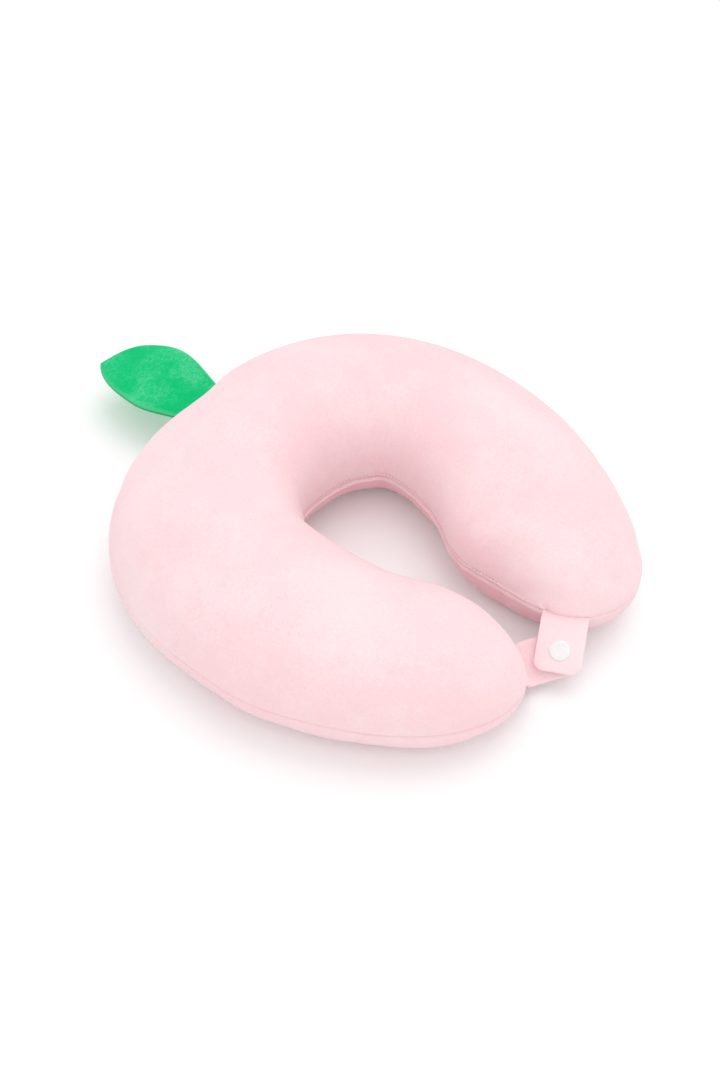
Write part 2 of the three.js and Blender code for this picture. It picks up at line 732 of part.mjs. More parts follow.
// The stud, with Z = 0 at the fabric and the stud pointing upwards.
function snapStud() {
  return turned([
    [POST_HOLE, 0],
    [SOCKET_RADIUS, 0],
    [SOCKET_RADIUS, STUD_PLATE],
    [STUD_RADIUS, STUD_PLATE],
    [STUD_RADIUS, STUD_PLATE + STUD_HEIGHT],
    [POST_HOLE, STUD_PLATE + STUD_HEIGHT],
    [POST_HOLE, 0],
  ]);
}

const half = TAB_THICKNESS / 2;
const up = new THREE.Vector3(0, 0, 1);

// The right tab slopes down from its fold, and the left tab's flap lies parallel to it, below.
const rightSeam = tipSeamFacing(RIGHT_TIP, RIGHT_TAB_BEARING);
const rightFold = rightSeam.point.clone().addScaledVector(rightSeam.out, TAB_NECK);
const rightRoot = groupAt(frameAt(rightFold, rightSeam.out));
const rightAlong = rightSeam.out
  .clone()
  .multiplyScalar(Math.cos(RIGHT_TAB_SLOPE))
  .addScaledVector(up, -Math.sin(RIGHT_TAB_SLOPE));
const rightTab = groupAt(frameAt(rightFold, rightAlong));
const snapAxis = new THREE.Vector3().setFromMatrixColumn(frameAt(rightFold, rightAlong), 2);

addMesh(rightRoot, "right_tab_root", sewnRoot(TAB_WIDTH, TAB_THICKNESS, TAB_NECK), velour());
addMesh(rightTab, "right_tab_face", tabLayer(RIGHT_TAB_LENGTH, 1, RIGHT_SNAP), velour());
addMesh(rightTab, "right_tab_lining", tabLayer(RIGHT_TAB_LENGTH, -1, RIGHT_SNAP), velour());
const capPost = TAB_THICKNESS + 2 * SNAP_GAP + SOCKET_WEB;
const cap = addMesh(rightTab, "snap_cap", snapCap(capPost), plastic(WHITE));
cap.position.set(RIGHT_SNAP, 0, half + SNAP_GAP);
const socket = addMesh(rightTab, "snap_socket", snapSocket(), plastic(WHITE));
socket.position.set(RIGHT_SNAP, 0, -half - SNAP_GAP);

// The left flap's middle plane lies this far below the right tab's.
const stack = TAB_THICKNESS + 3 * SNAP_GAP + SOCKET_HEIGHT + STUD_PLATE;
const snapPoint = rightFold
  .clone()
  .addScaledVector(rightAlong, RIGHT_SNAP)
  .addScaledVector(snapAxis, -stack);
const leftSeam = tipSeamFacing(LEFT_TIP, LEFT_ROOT_BEARING);
const leftBearing = new THREE.Vector3(
  Math.cos(LEFT_TAB_BEARING),
  Math.sin(LEFT_TAB_BEARING),
  0,
);
const leftAlong = leftBearing.projectOnPlane(snapAxis).normalize();
const leftFold = snapPoint.clone().addScaledVector(leftAlong, -LEFT_SNAP);
const leftTab = groupAt(frameAt(leftFold, leftAlong, snapAxis));
const leftLength = LEFT_SNAP + LEFT_TAB_END;

addMesh(leftTab, "left_tab_face", tabLayer(leftLength, 1, LEFT_SNAP), velour());
addMesh(leftTab, "left_tab_lining", tabLayer(leftLength, -1, LEFT_SNAP), velour());
const stud = addMesh(leftTab, "snap_stud", snapStud(), plastic(WHITE));
stud.position.set(LEFT_SNAP, 0, half + SNAP_GAP);
const backPost = TAB_THICKNESS + 2 * SNAP_GAP + STUD_PLATE;
const backCap = addMesh(leftTab, "snap_back_cap", snapCap(backPost), plastic(WHITE));
backCap.position.set(LEFT_SNAP, 0, -half - SNAP_GAP);
backCap.rotation.x = Math.PI;

// The left tab's root leaves the seam level, drops and rolls over into the flap's plane. It is
// ruled between two curves, one along each of its edges.
function leftTabRoot() {
  const levelAcross = up.clone().cross(leftSeam.out);
  const rolledAcross = snapAxis.clone().cross(leftAlong);
  const end = leftFold.clone().addScaledVector(leftAlong, -half - GAP);
  const edges = [-1, 1].map((side) => {
    const reach = (side * TAB_WIDTH) / 2;
    const seam = leftSeam.point.clone().addScaledVector(levelAcross, reach);
    const start = seam.clone().addScaledVector(leftSeam.out, LEFT_ROOT_LEVEL);
    const stop = end.clone().addScaledVector(rolledAcross, reach);
    const handle = start.distanceTo(stop) * LEFT_ROOT_HANDLE;
    return {
      seat: seam.addScaledVector(leftSeam.out, -ROOT_SEAT),
      curve: new THREE.CubicBezierCurve3(
        start,
        start.clone().addScaledVector(leftSeam.out, handle),
        stop.clone().addScaledVector(leftAlong, -handle),
        stop,
      ),
    };
  });
  const ringAt = (a, b, along) => {
    const thick = along.clone().cross(b.clone().sub(a)).normalize().multiplyScalar(half);
    const corners = [
      a.clone().sub(thick),
      b.clone().sub(thick),
      b.clone().add(thick),
      a.clone().add(thick),
    ];
    return [...corners, corners[0]];
  };
  const rings = [ringAt(edges[0].seat, edges[1].seat, leftSeam.out)];
  for (let i = 0; i <= LEFT_ROOT_STEPS; i++) {
    const k = i / LEFT_ROOT_STEPS;
    const [a, b] = edges.map(({ curve }) => curve.getPoint(k));
    const along = edges[0].curve.getTangent(k).add(edges[1].curve.getTangent(k));
    rings.push(ringAt(a, b, along));
  }
  const cap = (r) => [r[0], r[1], r[2], r[0], r[2], r[3]];
  return closedGeometry([
    ...gridCorners(rings),
    ...cap(rings[0]),
    ...cap(rings[rings.length - 1]).reverse(),
  ]);
}
addMesh(pillow, "left_tab_root", leftTabRoot(), velour());

const leafRoot = groupAt(frameAt(leafFold, leafSeam.out));
addMesh(leafRoot, "leaf_root", sewnRoot(LEAF_ROOT_WIDTH, LEAF_EDGE, LEAF_NECK), plush());

// ---- Cover, liner and core ----

const slotFor = (place, width, thickness, neck) => {
  const fold = place.point.clone().addScaledVector(place.out, neck);
  return sewnRoot(width, thickness, neck, GAP).applyMatrix4(frameAt(fold, place.out));
};
const slots = [
  slotFor(leafSeam, LEAF_ROOT_WIDTH, LEAF_EDGE, LEAF_NECK),
  slotFor(rightSeam, TAB_WIDTH, TAB_THICKNESS, TAB_NECK),
  slotFor(leftSeam, TAB_WIDTH, TAB_THICKNESS, TAB_NECK),
  zipWindow(),
];
addMesh(pillow, "cover_top", cut(panel(true, 0, COVER), slots), velour());
addMesh(pillow, "cover_bottom", cut(panel(false, 0, COVER), slots), velour());
addMesh(pillow, "liner_top", panel(true, LINER_DEPTH, LINER), lining());
addMesh(pillow, "liner_bottom", panel(false, LINER_DEPTH, LINER), lining());
const core = closedGeometry(gridCorners(layer(CORE_DEPTH, 0, COLUMNS)));
addMesh(pillow, "foam_core", core, material(0xf4ecd2, 0.95));

// The part's origin is the middle of its underside.
pillow.updateMatrixWorld(true);
const bounds = new THREE.Box3().setFromObject(pillow);
const middle = bounds.getCenter(new THREE.Vector3());
const part = new THREE.Group();
part.add(pillow);
pillow.position.set(-middle.x, -middle.y, -bounds.min.z);

export default part;
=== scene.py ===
# A horseshoe neck pillow in pale pink velour, with a plush leaf and two tabs that snap together.
# Everything is in metres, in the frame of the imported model: +Z up, the leaf at +Y.
import json
import math

import bmesh
import bpy
import numpy as np
from mathutils import Matrix, Vector
from mathutils.bvhtree import BVHTree


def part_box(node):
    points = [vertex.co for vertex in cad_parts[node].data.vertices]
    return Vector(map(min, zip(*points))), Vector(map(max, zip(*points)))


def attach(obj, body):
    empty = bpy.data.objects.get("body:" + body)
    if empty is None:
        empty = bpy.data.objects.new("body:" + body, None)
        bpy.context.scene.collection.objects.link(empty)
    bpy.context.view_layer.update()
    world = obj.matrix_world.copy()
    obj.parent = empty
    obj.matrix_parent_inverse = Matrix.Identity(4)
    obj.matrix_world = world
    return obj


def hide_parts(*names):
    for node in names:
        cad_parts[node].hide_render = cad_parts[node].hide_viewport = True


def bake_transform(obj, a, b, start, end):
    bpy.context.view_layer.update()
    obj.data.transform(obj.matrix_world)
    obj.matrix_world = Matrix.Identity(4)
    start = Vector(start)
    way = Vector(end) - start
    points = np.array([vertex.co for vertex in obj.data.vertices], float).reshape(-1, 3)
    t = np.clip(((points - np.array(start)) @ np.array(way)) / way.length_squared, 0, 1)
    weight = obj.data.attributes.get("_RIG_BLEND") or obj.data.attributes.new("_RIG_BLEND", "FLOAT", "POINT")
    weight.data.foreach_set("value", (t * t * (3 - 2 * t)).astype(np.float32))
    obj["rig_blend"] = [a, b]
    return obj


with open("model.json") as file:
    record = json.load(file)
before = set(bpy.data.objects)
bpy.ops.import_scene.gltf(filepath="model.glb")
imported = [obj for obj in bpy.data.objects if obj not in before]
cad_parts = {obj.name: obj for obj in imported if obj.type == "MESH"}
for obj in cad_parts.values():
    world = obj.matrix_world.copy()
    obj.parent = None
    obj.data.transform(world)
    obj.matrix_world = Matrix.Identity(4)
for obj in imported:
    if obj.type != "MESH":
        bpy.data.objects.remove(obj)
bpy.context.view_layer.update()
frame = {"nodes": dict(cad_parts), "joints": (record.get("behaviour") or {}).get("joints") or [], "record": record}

MM = 0.001
UP = Vector((0, 0, 1))

# ---- The roll's sizes ----

# At four stations: the back, the rear side, the front side and the arm's tip.
REACH = (82.2 * MM, 96.8 * MM, 102.9 * MM, 137.8 * MM)
HALF_WIDTH = (54.9 * MM, 52.7 * MM, 54.6 * MM, 49.6 * MM)
CROWN_HEIGHT = (95 * MM, 85.7 * MM, 76.7 * MM, 65.6 * MM)
LEAN = (-0.12, -0.07, 0.01, 0.06)
SEAM_HEIGHT = 27.3 * MM
SINK = 6 * MM
LEFT_TIP = {"angle": math.radians(173.6), "round": 66 * MM, "fullness": 2.65}
RIGHT_TIP = {"angle": math.radians(171), "round": 40 * MM, "fullness": 1.9}
UPPER_OUTER_FULLNESS = 1.86
UPPER_INNER_FULLNESS = 2.46
LOWER_FULLNESS = 2.02
COVER = 1.8 * MM

JOINTS = {joint["name"]: joint for joint in frame["joints"]}


def joint_place(name):
    """Where a joint turns."""
    return Vector(JOINTS[name]["pos_m"])


# The neck's centre, about which the roll is drawn, from the back of the lower cover.
NECK = Vector((0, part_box("cover_bottom")[1].y - REACH[0] - HALF_WIDTH[0], 0))


# ---- Shading ----


class Value:
    """A shader socket that Python's operators work on, each adding a Math node."""

    def __init__(self, nodes, socket):
        self.nodes = nodes
        self.socket = socket

    def __add__(self, other):
        return self.nodes.math("ADD", self, other)

    def __mul__(self, other):
        return self.nodes.math("MULTIPLY", self, other)

    __radd__ = __add__
    __rmul__ = __mul__


def socket_name(key):
    """A socket's own name, from a name that Python can use."""
    return key.replace("_", " ").title().replace("Ior", "IOR")


class Nodes:
    """A node tree, for a material or for the world."""

    def __init__(self, tree):
        self.tree = tree

    def node(self, kind, settings=None, numbered=None, **named):
        """A node, with its settings made first, and then its sockets by number or by name."""
        made = self.tree.nodes.new(kind)
        for key, value in (settings or {}).items():
            setattr(made, key, value)
        for number, value in (numbered or {}).items():
            self.feed(made.inputs[number], value)
        for key, value in named.items():
            self.feed(made.inputs[socket_name(key)], value)
        return made

    def feed(self, socket, value):
        """Links a socket to a value that varies, or sets it to one that doesn't."""
        if isinstance(value, Value):
            value = value.socket
        if isinstance(value, bpy.types.NodeSocket):
            self.tree.links.new(value, socket)
        else:
            socket.default_value = value

    def math(self, operation, a, b):
        made = self.node("ShaderNodeMath", {"operation": operation}, {0: a, 1: b})
        return Value(self, made.outputs[0])

    def seen(self):
        """1 where a surface is seen straight, in a reflection or through something clear."""
        path = self.node("ShaderNodeLightPath").outputs
        straight, glossy, through = (
            Value(self, path[ray]) for ray in ("Is Camera Ray", "Is Glossy Ray", "Is Transmission Ray")
        )
        return self.math("MAXIMUM", self.math("MAXIMUM", straight, glossy), through)


class Paint(Nodes):
    """A material with its Principled shader."""

    def __init__(self, name, **constants):
        self.material = bpy.data.materials.new(name)
        self.material.use_nodes = True
        super().__init__(self.material.node_tree)
        self.shader = self.tree.nodes["Principled BSDF"]
        for socket, value in constants.items():
            self.shader.inputs[socket_name(socket)].default_value = value
        self.place = self.node("ShaderNodeTexCoord").outputs["Object"]

    def set(self, socket, value):
        """Feeds one of the Principled shader's sockets."""
        self.feed(self.shader.inputs[socket], value)

    def noise(self, scale, detail=2.0, roughness=0.5):
        """Noise from 0 to 1 about a half. The scale is in waves for each metre."""
        made = self.node(
            "ShaderNodeTexNoise", Vector=self.place, Scale=scale, Detail=detail, Roughness=roughness
        )
        return Value(self, made.outputs["Fac"])

    def spread(self, value, low, high, to_low=0.0, to_high=1.0):
        """The value stretched from low..high to to_low..to_high, and held there."""
        ends = {1: low, 2: high, 3: to_low, 4: to_high}
        made = self.node("ShaderNodeMapRange", {"interpolation_type": "SMOOTHSTEP"}, ends, Value=value)
        return Value(self, made.outputs[0])

    def attribute(self, name):
        """A number that a piece's mesh carries, or 0 where it carries none."""
        made = self.node("ShaderNodeAttribute", {"attribute_name": name})
        return Value(self, made.outputs["Fac"])

    def blend(self, factor, a, b):
        """One colour going over to another."""
        made = self.node("ShaderNodeMix", {"data_type": "RGBA"}, {0: factor, 6: a, 7: b})
        return made.outputs[2]

    def bump(self, height, distance):
        made = self.node("ShaderNodeBump", Height=height, Distance=distance, Strength=1.0)
        self.set("Normal", made.outputs[0])


def colour(red, green, blue):
    """A colour given as it shows on a screen, from 0 to 255, as a shader's linear colour."""
    shown = [channel / 255 for channel in (red, green, blue)]
    return (*(((c + 0.055) / 1.055) ** 2.4 if c > 0.04 else c / 12.92 for c in shown), 1.0)


# Waves for each metre of fabric or plastic.
TUFT_WAVES = 560
FIBRE_WAVES = 1700
SKIN_WAVES = 900
PLASTIC_CLOUD_WAVES = 160
YARN_CLOUD_WAVES = 300
FOAM_CELLS = 1400
# How much of each painted tone a seam's neighbourhood takes: painted shade below the inner seam, painted sheen
# along the leaf's rim, and painted shade in the leaf's seam.
PAINTED_SHADE_BELOW_TINT = 0.7
PAINTED_SHEEN_RIM_TINT = 0.75
PAINTED_SHADE_SEAM_TINT = 0.8


def pile(name, tones, sheen, waves, pile_depth, painted_seam_shade=None, painted_shade_below=None):
    """Short pile: broad patches where the nap lies one way or the other, and fine fibres. Where a piece
    says how near its sewn rim is, the rim is painted lighter as painted sheen, and the seam itself is painted dark
    as painted shade in its groove. Where a piece says how far it lies below the inner seam, it is painted a deeper
    pink as painted shade."""
    deep, plain, brushed = tones
    paint = Paint(
        name,
        sheen_weight=sheen,
        sheen_roughness=0.7,
        sheen_tint=brushed,
        specular_ior_level=0.1,
    )
    patches = paint.noise(waves)
    strokes = paint.noise(waves * 6, 3.0, 0.6)
    tufts = paint.noise(TUFT_WAVES, 3.0, 0.7)
    fibres = paint.noise(FIBRE_WAVES, 2.0, 0.7)
    nap = patches * 0.42 + strokes * 0.14 + tufts * 0.3 + fibres * 0.14
    base = paint.blend(paint.spread(nap, 0.36, 0.54), deep, plain)
    base = paint.blend(paint.spread(nap, 0.46, 0.64), base, brushed)
    # Painted shade: a deeper pink on the inner side below the seam, where the neck's hollow shades the cover.
    if painted_shade_below:
        base = paint.blend(paint.attribute("painted_shade_below") * PAINTED_SHADE_BELOW_TINT, base, painted_shade_below)
    if painted_seam_shade:
        # Painted sheen: the rim is painted in the lighter brushed tone.
        base = paint.blend(paint.attribute("rim") * PAINTED_SHEEN_RIM_TINT, base, brushed)
        # Painted shade: the seam is painted dark, as the shade in its groove.
        base = paint.blend(paint.attribute("painted_seam_shade") * PAINTED_SHADE_SEAM_TINT, base, painted_seam_shade)
    paint.set("Base Color", base)
    paint.set("Roughness", paint.spread(fibres, 0.3, 0.7, 0.86, 1.0))
    paint.bump(fibres * 0.3 + tufts * 0.55 + strokes * 0.15, pile_depth)
    return paint.material


def gloss(name, tone):
    """Moulded plastic with a faint orange-peel skin."""
    paint = Paint(name, specular_ior_level=0.5)
    skin = paint.noise(SKIN_WAVES)
    darker = [0.97 * c for c in tone[:3]] + [1.0]
    cloud = paint.spread(paint.noise(PLASTIC_CLOUD_WAVES), 0.3, 0.7)
    paint.set("Base Color", paint.blend(cloud, tone, darker))
    paint.set("Roughness", paint.spread(skin, 0.3, 0.7, 0.2, 0.3))
    paint.bump(skin, 0.03 * MM)
    return paint.material


def woven(name, light, dark, pitch):
    """A plain weave, from two waves that cross."""
    paint = Paint(name, roughness=0.9, sheen_weight=0.2)
    waves = []
    for axis in ("X", "Z"):
        wave = paint.node(
            "ShaderNodeTexWave",
            {"wave_type": "BANDS", "bands_direction": axis},
            Vector=paint.place,
            Scale=math.pi / 10 / pitch,
        )
        waves.append(Value(paint, wave.outputs["Fac"]))
    weave = waves[0] * waves[1]
    cloud = paint.noise(YARN_CLOUD_WAVES) * 0.4
    paint.set("Base Color", paint.blend(paint.spread(weave + cloud, 0.1, 1.0), dark, light))
    paint.bump(weave, 0.2 * MM)
    return paint.material


def foam(name, tone, shade):
    """Open-celled foam or wadding."""
    paint = Paint(name, roughness=0.95)
    cells = paint.node("ShaderNodeTexVoronoi", Vector=paint.place, Scale=FOAM_CELLS)
    pores = Value(paint, cells.outputs["Distance"])
    paint.set("Base Color", paint.blend(paint.spread(pores, 0.1, 0.5), shade, tone))
    paint.bump(pores, 0.3 * MM)
    return paint.material


PINKS = (colour(254, 213, 218), colour(255, 221, 225), colour(255, 230, 233))
# A deeper pink painted on the inner side below the seam: painted shade, not a different dye.
PINK_PAINTED_SHADE = colour(247, 180, 190)
THREAD = colour(243, 194, 201)
GREENS = (colour(0, 192, 112), colour(20, 200, 126), colour(92, 212, 152))
# A dark green painted along the leaf's seam: painted shade in the gap between its panels.
LEAF_SEAM_PAINTED_SHADE = colour(40, 122, 80)
WHITE = colour(240, 240, 239)

MATERIALS = {
    "velour": pile("velour", PINKS, 1.0, 18, 0.55 * MM, painted_shade_below=PINK_PAINTED_SHADE),
    "leaf_plush": pile("leaf_plush", GREENS, 0.15, 42, 0.8 * MM, LEAF_SEAM_PAINTED_SHADE),
    "liner": woven("liner", colour(243, 238, 238), colour(225, 216, 217), 0.5 * MM),
    "foam": foam("foam", colour(246, 238, 214), colour(220, 208, 176)),
    "wadding": foam("wadding", colour(246, 246, 246), colour(226, 226, 226)),
    "snap_plastic": gloss("snap_plastic", WHITE),
    "zip_tape": woven("zip_tape", colour(249, 217, 223), colour(232, 190, 199), 0.6 * MM),
    "zip_plastic": gloss("zip_plastic", colour(247, 208, 215)),
    "thread": woven("thread", THREAD, colour(222, 160, 170), 0.3 * MM),
}

# ---- Making pieces ----


def in_scene(name, data):
    """An object in the scene, of a mesh, a lamp or a camera."""
    made = bpy.data.objects.new(name, data)
    bpy.context.scene.collection.objects.link(made)
    return made


def mesh_of(name, bm):
    """A mesh from a bmesh, which is used up."""
    data = bpy.data.meshes.new(name)
    bm.to_mesh(data)
    bm.free()
    return data


def piece(name, bm, body, slot, material=None, replaces=(), blend=None):
    """A smooth object from a bmesh, riding on a body or bending between two."""
    made = in_scene(name, mesh_of(name, bm))
    for polygon in made.data.polygons:
        polygon.use_smooth = True
    made.data.materials.append(MATERIALS[material or slot])
    if blend:
        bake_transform(made, *blend)
    else:
        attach(made, body)
    if replaces:
        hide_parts(*replaces)
    return made


def modifier(obj, kind, **settings):
    """A modifier with its settings, after the object's others."""
    made = obj.modifiers.new(kind.title(), kind)
    for key, value in settings.items():
        setattr(made, key, value)
    return made


def subdivide(obj):
    return modifier(obj, "SUBSURF", levels=1, render_levels=1)


def grid(columns, rows):
    """A flat grid from 0 to 1 both ways."""
    bm = bmesh.new()
    bmesh.ops.create_grid(bm, x_segments=columns, y_segments=rows, size=0.5)
    bmesh.ops.translate(bm, verts=bm.verts, vec=(0.5, 0.5, 0))
    return bm


def places_of(bm):
    return np.array([v.co for v in bm.verts])


def normals_of(bm):
    return np.array([v.normal for v in bm.verts])


def move_to(bm, places):
    for vertex, place in zip(bm.verts, places):
        vertex.co = place


def merge(bm, gap):
    """Joins points that lie closer than a gap, where a grid closes on itself."""
    bmesh.ops.remove_doubles(bm, verts=bm.verts, dist=gap)


def face_outwards(bm):
    bmesh.ops.recalc_face_normals(bm, faces=bm.faces)
    bm.normal_update()


def close_ends(bm):
    """Fills what is still open, and turns every face outwards."""
    ends = [edge for edge in bm.edges if edge.is_boundary]
    bmesh.ops.holes_fill(bm, edges=ends, sides=0)
    face_outwards(bm)


def smoothstep(x):
    """0 to 1, level at both ends."""
    x = np.clip(x, 0, 1)
    return x * x * (3 - 2 * x)


def bell(x, width):
    """1 at 0, and falling off to both sides within a width."""
    return np.exp(-((x / width) ** 2))


def running_lengths(points):
    """The length from the first point to each."""
    return np.concatenate([[0], np.cumsum(np.linalg.norm(np.diff(points, axis=0), axis=1))])


def along_path(at, lengths, points):
    """Where a path is, at given lengths along it."""
    return np.stack([np.interp(at, lengths, points[:, i]) for i in range(points.shape[1])], -1)


# ---- The roll's surface ----


def around(sizes, turn):
    """A size that changes smoothly from the back station to the tip station, at an angle from the back."""
    back, rear, front, tip = sizes
    return (
        (back + 2 * rear + 2 * front + tip) / 6
        + (back + rear - front - tip) / 3 * np.cos(turn)
        + (back - rear - front + tip) / 3 * np.cos(2 * turn)
        + (back - 2 * rear + 2 * front - tip) / 6 * np.cos(3 * turn)
    )


def turn_at(k):
    """The angle from the back, negative to the left, at a step from 0 to 1 between the tips."""
    return -LEFT_TIP["angle"] + k * (LEFT_TIP["angle"] + RIGHT_TIP["angle"])


def middle_line(k):
    """The line that the roll follows, seen from above."""
    turn = turn_at(k)
    reach = around(REACH, turn)
    return np.stack([reach * np.sin(turn) + NECK.x, reach * np.cos(turn) + NECK.y], -1)


LINE_STEPS = np.linspace(0, 1, 1201)
LINE = middle_line(LINE_STEPS)
LINE_LENGTHS = running_lengths(LINE)
LINE_LENGTH = LINE_LENGTHS[-1]
LINE_TANGENTS = np.gradient(LINE, LINE_LENGTHS, axis=0)


def powered(x, exponent):
    """A power of a number's size, with the number's sign."""
    return np.sign(x) * np.abs(x) ** exponent


def surface_fullness(u):
    """How full the section is at a share of the middle line: 0 at a tip, 1 once the arm is rounded off."""
    full = np.ones_like(u)
    for tip, share in ((LEFT_TIP, u), (RIGHT_TIP, 1 - u)):
        q = np.clip(share * LINE_LENGTH / tip["round"], 0, 1)
        full = full * (1 - (1 - q) ** tip["fullness"]) ** (1 / tip["fullness"])
    return full


# Where the roll differs from a plain sweep: at an angle from the back, how deep and over what span. Outside
# forms press in, and inside forms make the neck's edge fuller.
LEAF_DENT = {"turn": math.radians(-13), "depth": 9 * MM, "span": math.radians(15)}
RIGHT_EASE = {"turn": math.radians(140), "depth": 3.5 * MM, "span": math.radians(16)}
LEFT_FILL = {"turn": math.radians(-117), "depth": -3 * MM, "span": math.radians(14)}
OUTER_FORMS = (LEAF_DENT, RIGHT_EASE, LEFT_FILL)
LEFT_SWELL = {"turn": math.radians(-58), "depth": 12.5 * MM, "span": math.radians(34)}
REAR_SWELL = {"turn": math.radians(48), "depth": 6 * MM, "span": math.radians(28)}
RIGHT_SWELL = {"turn": math.radians(141), "depth": 9 * MM, "span": math.radians(20)}
INNER_FORMS = (LEFT_SWELL, REAR_SWELL, RIGHT_SWELL)


def surface(u, v):
    """Points of the cover's outside. u is the share of the middle line from the left arm's tip, and v
    turns from the outer seam over the crown to the inner seam, and back under the base."""
    length = u * LINE_LENGTH
    k = np.interp(length, LINE_LENGTHS, LINE_STEPS)
    turn = turn_at(k)
    middle = along_path(length, LINE_LENGTHS, LINE)
    along = along_path(length, LINE_LENGTHS, LINE_TANGENTS)
    along /= np.linalg.norm(along, axis=-1, keepdims=True)
    full = surface_fullness(u)
    half = around(HALF_WIDTH, turn) * full
    across, up = np.cos(v), np.sin(v)
    upper = up >= 0
    upper_fullness = np.where(across >= 0, UPPER_OUTER_FULLNESS, UPPER_INNER_FULLNESS)
    roundness = np.where(upper, upper_fullness, LOWER_FULLNESS)
    height = powered(up, 2 / roundness)
    dent, swell = (
        sum(form["depth"] * bell(turn - form["turn"], form["span"]) for form in forms) * full
        for forms in (OUTER_FORMS, INNER_FORMS)
    )
    sideways = half * powered(across, 2 / roundness) - dent * np.maximum(0, across) ** 1.2
    sideways -= swell * np.minimum(0, across) ** 2
    sideways += np.where(upper, around(LEAN, turn) * half * height, 0)
    rise = np.where(upper, around(CROWN_HEIGHT, turn) - SEAM_HEIGHT, SEAM_HEIGHT + SINK)
    z = np.maximum(0, SEAM_HEIGHT + rise * full * height)
    flat = middle + np.stack([-along[..., 1], along[..., 0]], -1) * sideways[..., None]
    return np.concatenate([flat, z[..., None]], -1)


COVER_GRID = (230, 88)
LINING_GRID = (110, 48)
TIP_RINGS = 0.07
SEAM_CROWDING = 0.82
MERGE_GAP = 0.05 * MM


def ring_share(x):
    """Crowds the rings towards each tip, where the roll closes."""
    made = np.empty_like(x)
    left = LEFT_TIP["round"] / LINE_LENGTH
    right = RIGHT_TIP["round"] / LINE_LENGTH
    inner = (x >= TIP_RINGS) & (x <= 1 - TIP_RINGS)
    made[inner] = left + (x[inner] - TIP_RINGS) / (1 - 2 * TIP_RINGS) * (1 - left - right)
    for mask, tip, size, flip in (
        (x < TIP_RINGS, LEFT_TIP, left, False),
        (x > 1 - TIP_RINGS, RIGHT_TIP, right, True),
    ):
        away = (1 - x[mask] if flip else x[mask]) / TIP_RINGS
        q = 1 - np.cos(away * math.pi / 2) ** (2 / tip["fullness"])
        made[mask] = 1 - q * size if flip else q * size
    return made


def column_turn(y):
    """Crowds the columns towards the two seams."""
    return 2 * math.pi * y - SEAM_CROWDING / 2 * np.sin(4 * math.pi * y)


# ---- The zip's bay ----

ZIP_CENTRE = joint_place("zip_run")
TAPE_LOW, TAPE_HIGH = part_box("zip_tape_lower")[0].z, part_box("zip_tape_upper")[1].z
BAY_HALF = (TAPE_HIGH - TAPE_LOW) / 2 + 0.6 * MM
BAY_TURNS = (math.radians(18.6), math.radians(87.5))
BAY_DEPTH = 2.4 * MM
BAY_LIP = 1.2 * MM
BAY_END = 0.03


def zip_bay(turn, z):
    """How much of a point lies in the shallow bay in which the zip's tapes lie, from 0 to 1."""
    ends = smoothstep((turn - BAY_TURNS[0]) / BAY_END) * smoothstep((BAY_TURNS[1] - turn) / BAY_END)
    return ends * smoothstep((BAY_HALF + BAY_LIP - np.abs(z - SEAM_HEIGHT)) / BAY_LIP)


# ---- The roll's seams ----

INNER_SEAM_DEPTH = 1.6 * MM
OUTER_SEAM_DEPTH = 0.9 * MM
SEAM_WIDTH = 0.9 * MM
INNER_WELT = 0.6 * MM
OUTER_WELT = 0.15 * MM
WELT_AWAY = 1.9 * MM
WELT_WIDTH = 0.8 * MM
STITCH_LINE = 3.2 * MM
STITCH_PULL = 0.6 * MM
STITCH_PULL_WIDTH = 0.7 * MM


def seam_shape(places, inner, upper):
    """How far the cover stands in or out near its seam. The inner seam has a row of topstitches."""
    away = np.abs(places[:, 2] - SEAM_HEIGHT)
    shape = -np.where(inner, INNER_SEAM_DEPTH, OUTER_SEAM_DEPTH) * bell(away, SEAM_WIDTH)
    shape += np.where(inner, INNER_WELT, OUTER_WELT) * bell(away - WELT_AWAY, WELT_WIDTH)
    return shape - (inner & upper) * STITCH_PULL * bell(away - STITCH_LINE, STITCH_PULL_WIDTH)


def turn_of(places):
    """The angle from the back of points, about the neck's centre."""
    return np.arctan2(places[:, 0] - NECK.x, places[:, 1] - NECK.y)


def keep_layer(bm, name, values):
    """Keeps a number for each vertex, under a name."""
    layer = bm.verts.layers.float.new(name)
    for vertex, value in zip(bm.verts, values):
        vertex[layer] = value


def roll_shell(columns, rows):
    """The closed outside of the roll before its seams are sewn. Each vertex keeps its turn about the middle line
    and how much it lies below the inner seam on the inside, which is where painted shade goes, and each face which
    half it is in."""
    bm = grid(columns, rows)
    flat = places_of(bm)
    u, v = ring_share(flat[:, 0]), column_turn(flat[:, 1])
    half = bm.faces.layers.int.new("lower")
    for face in bm.faces:
        face[half] = int(face.calc_center_median().y > 0.5)
    places = surface(u, v)
    # Where the painted shade goes: the inner side, below the seam.
    painted_shade_below = smoothstep((SEAM_HEIGHT - 1 * MM - places[:, 2]) / (3 * MM)) * smoothstep(-np.cos(v) * 4)
    keep_layer(bm, "turn", v)
    keep_layer(bm, "painted_shade_below", painted_shade_below)
    move_to(bm, places)
    merge(bm, MERGE_GAP)
    face_outwards(bm)
    return bm


def kept_layer(bm, name):
    """The numbers kept under a name."""
    layer = bm.verts.layers.float[name]
    return np.array([vertex[layer] for vertex in bm.verts])


def smoothed(bm, values, rounds):
    """Values at the vertices, evened out with their neighbours'."""
    ends = np.array([[v.index for v in edge.verts] for edge in bm.edges])
    count = np.bincount(ends.ravel(), minlength=len(bm.verts))[:, None] + 1.0
    for _ in range(rounds):
        total = values.copy()
        np.add.at(total, ends[:, 0], values[ends[:, 1]])
        np.add.at(total, ends[:, 1], values[ends[:, 0]])
        values = total / count
    return values


SETTLE_FRAMES = 20
SETTLE_CAP = 2.2 * MM
COVER_GROWTH = 0.03
COVER_LOOSENESS = 0.35
FORM_ROUNDS = 40
HELD_ALONG_SEAM = 2.5 * MM


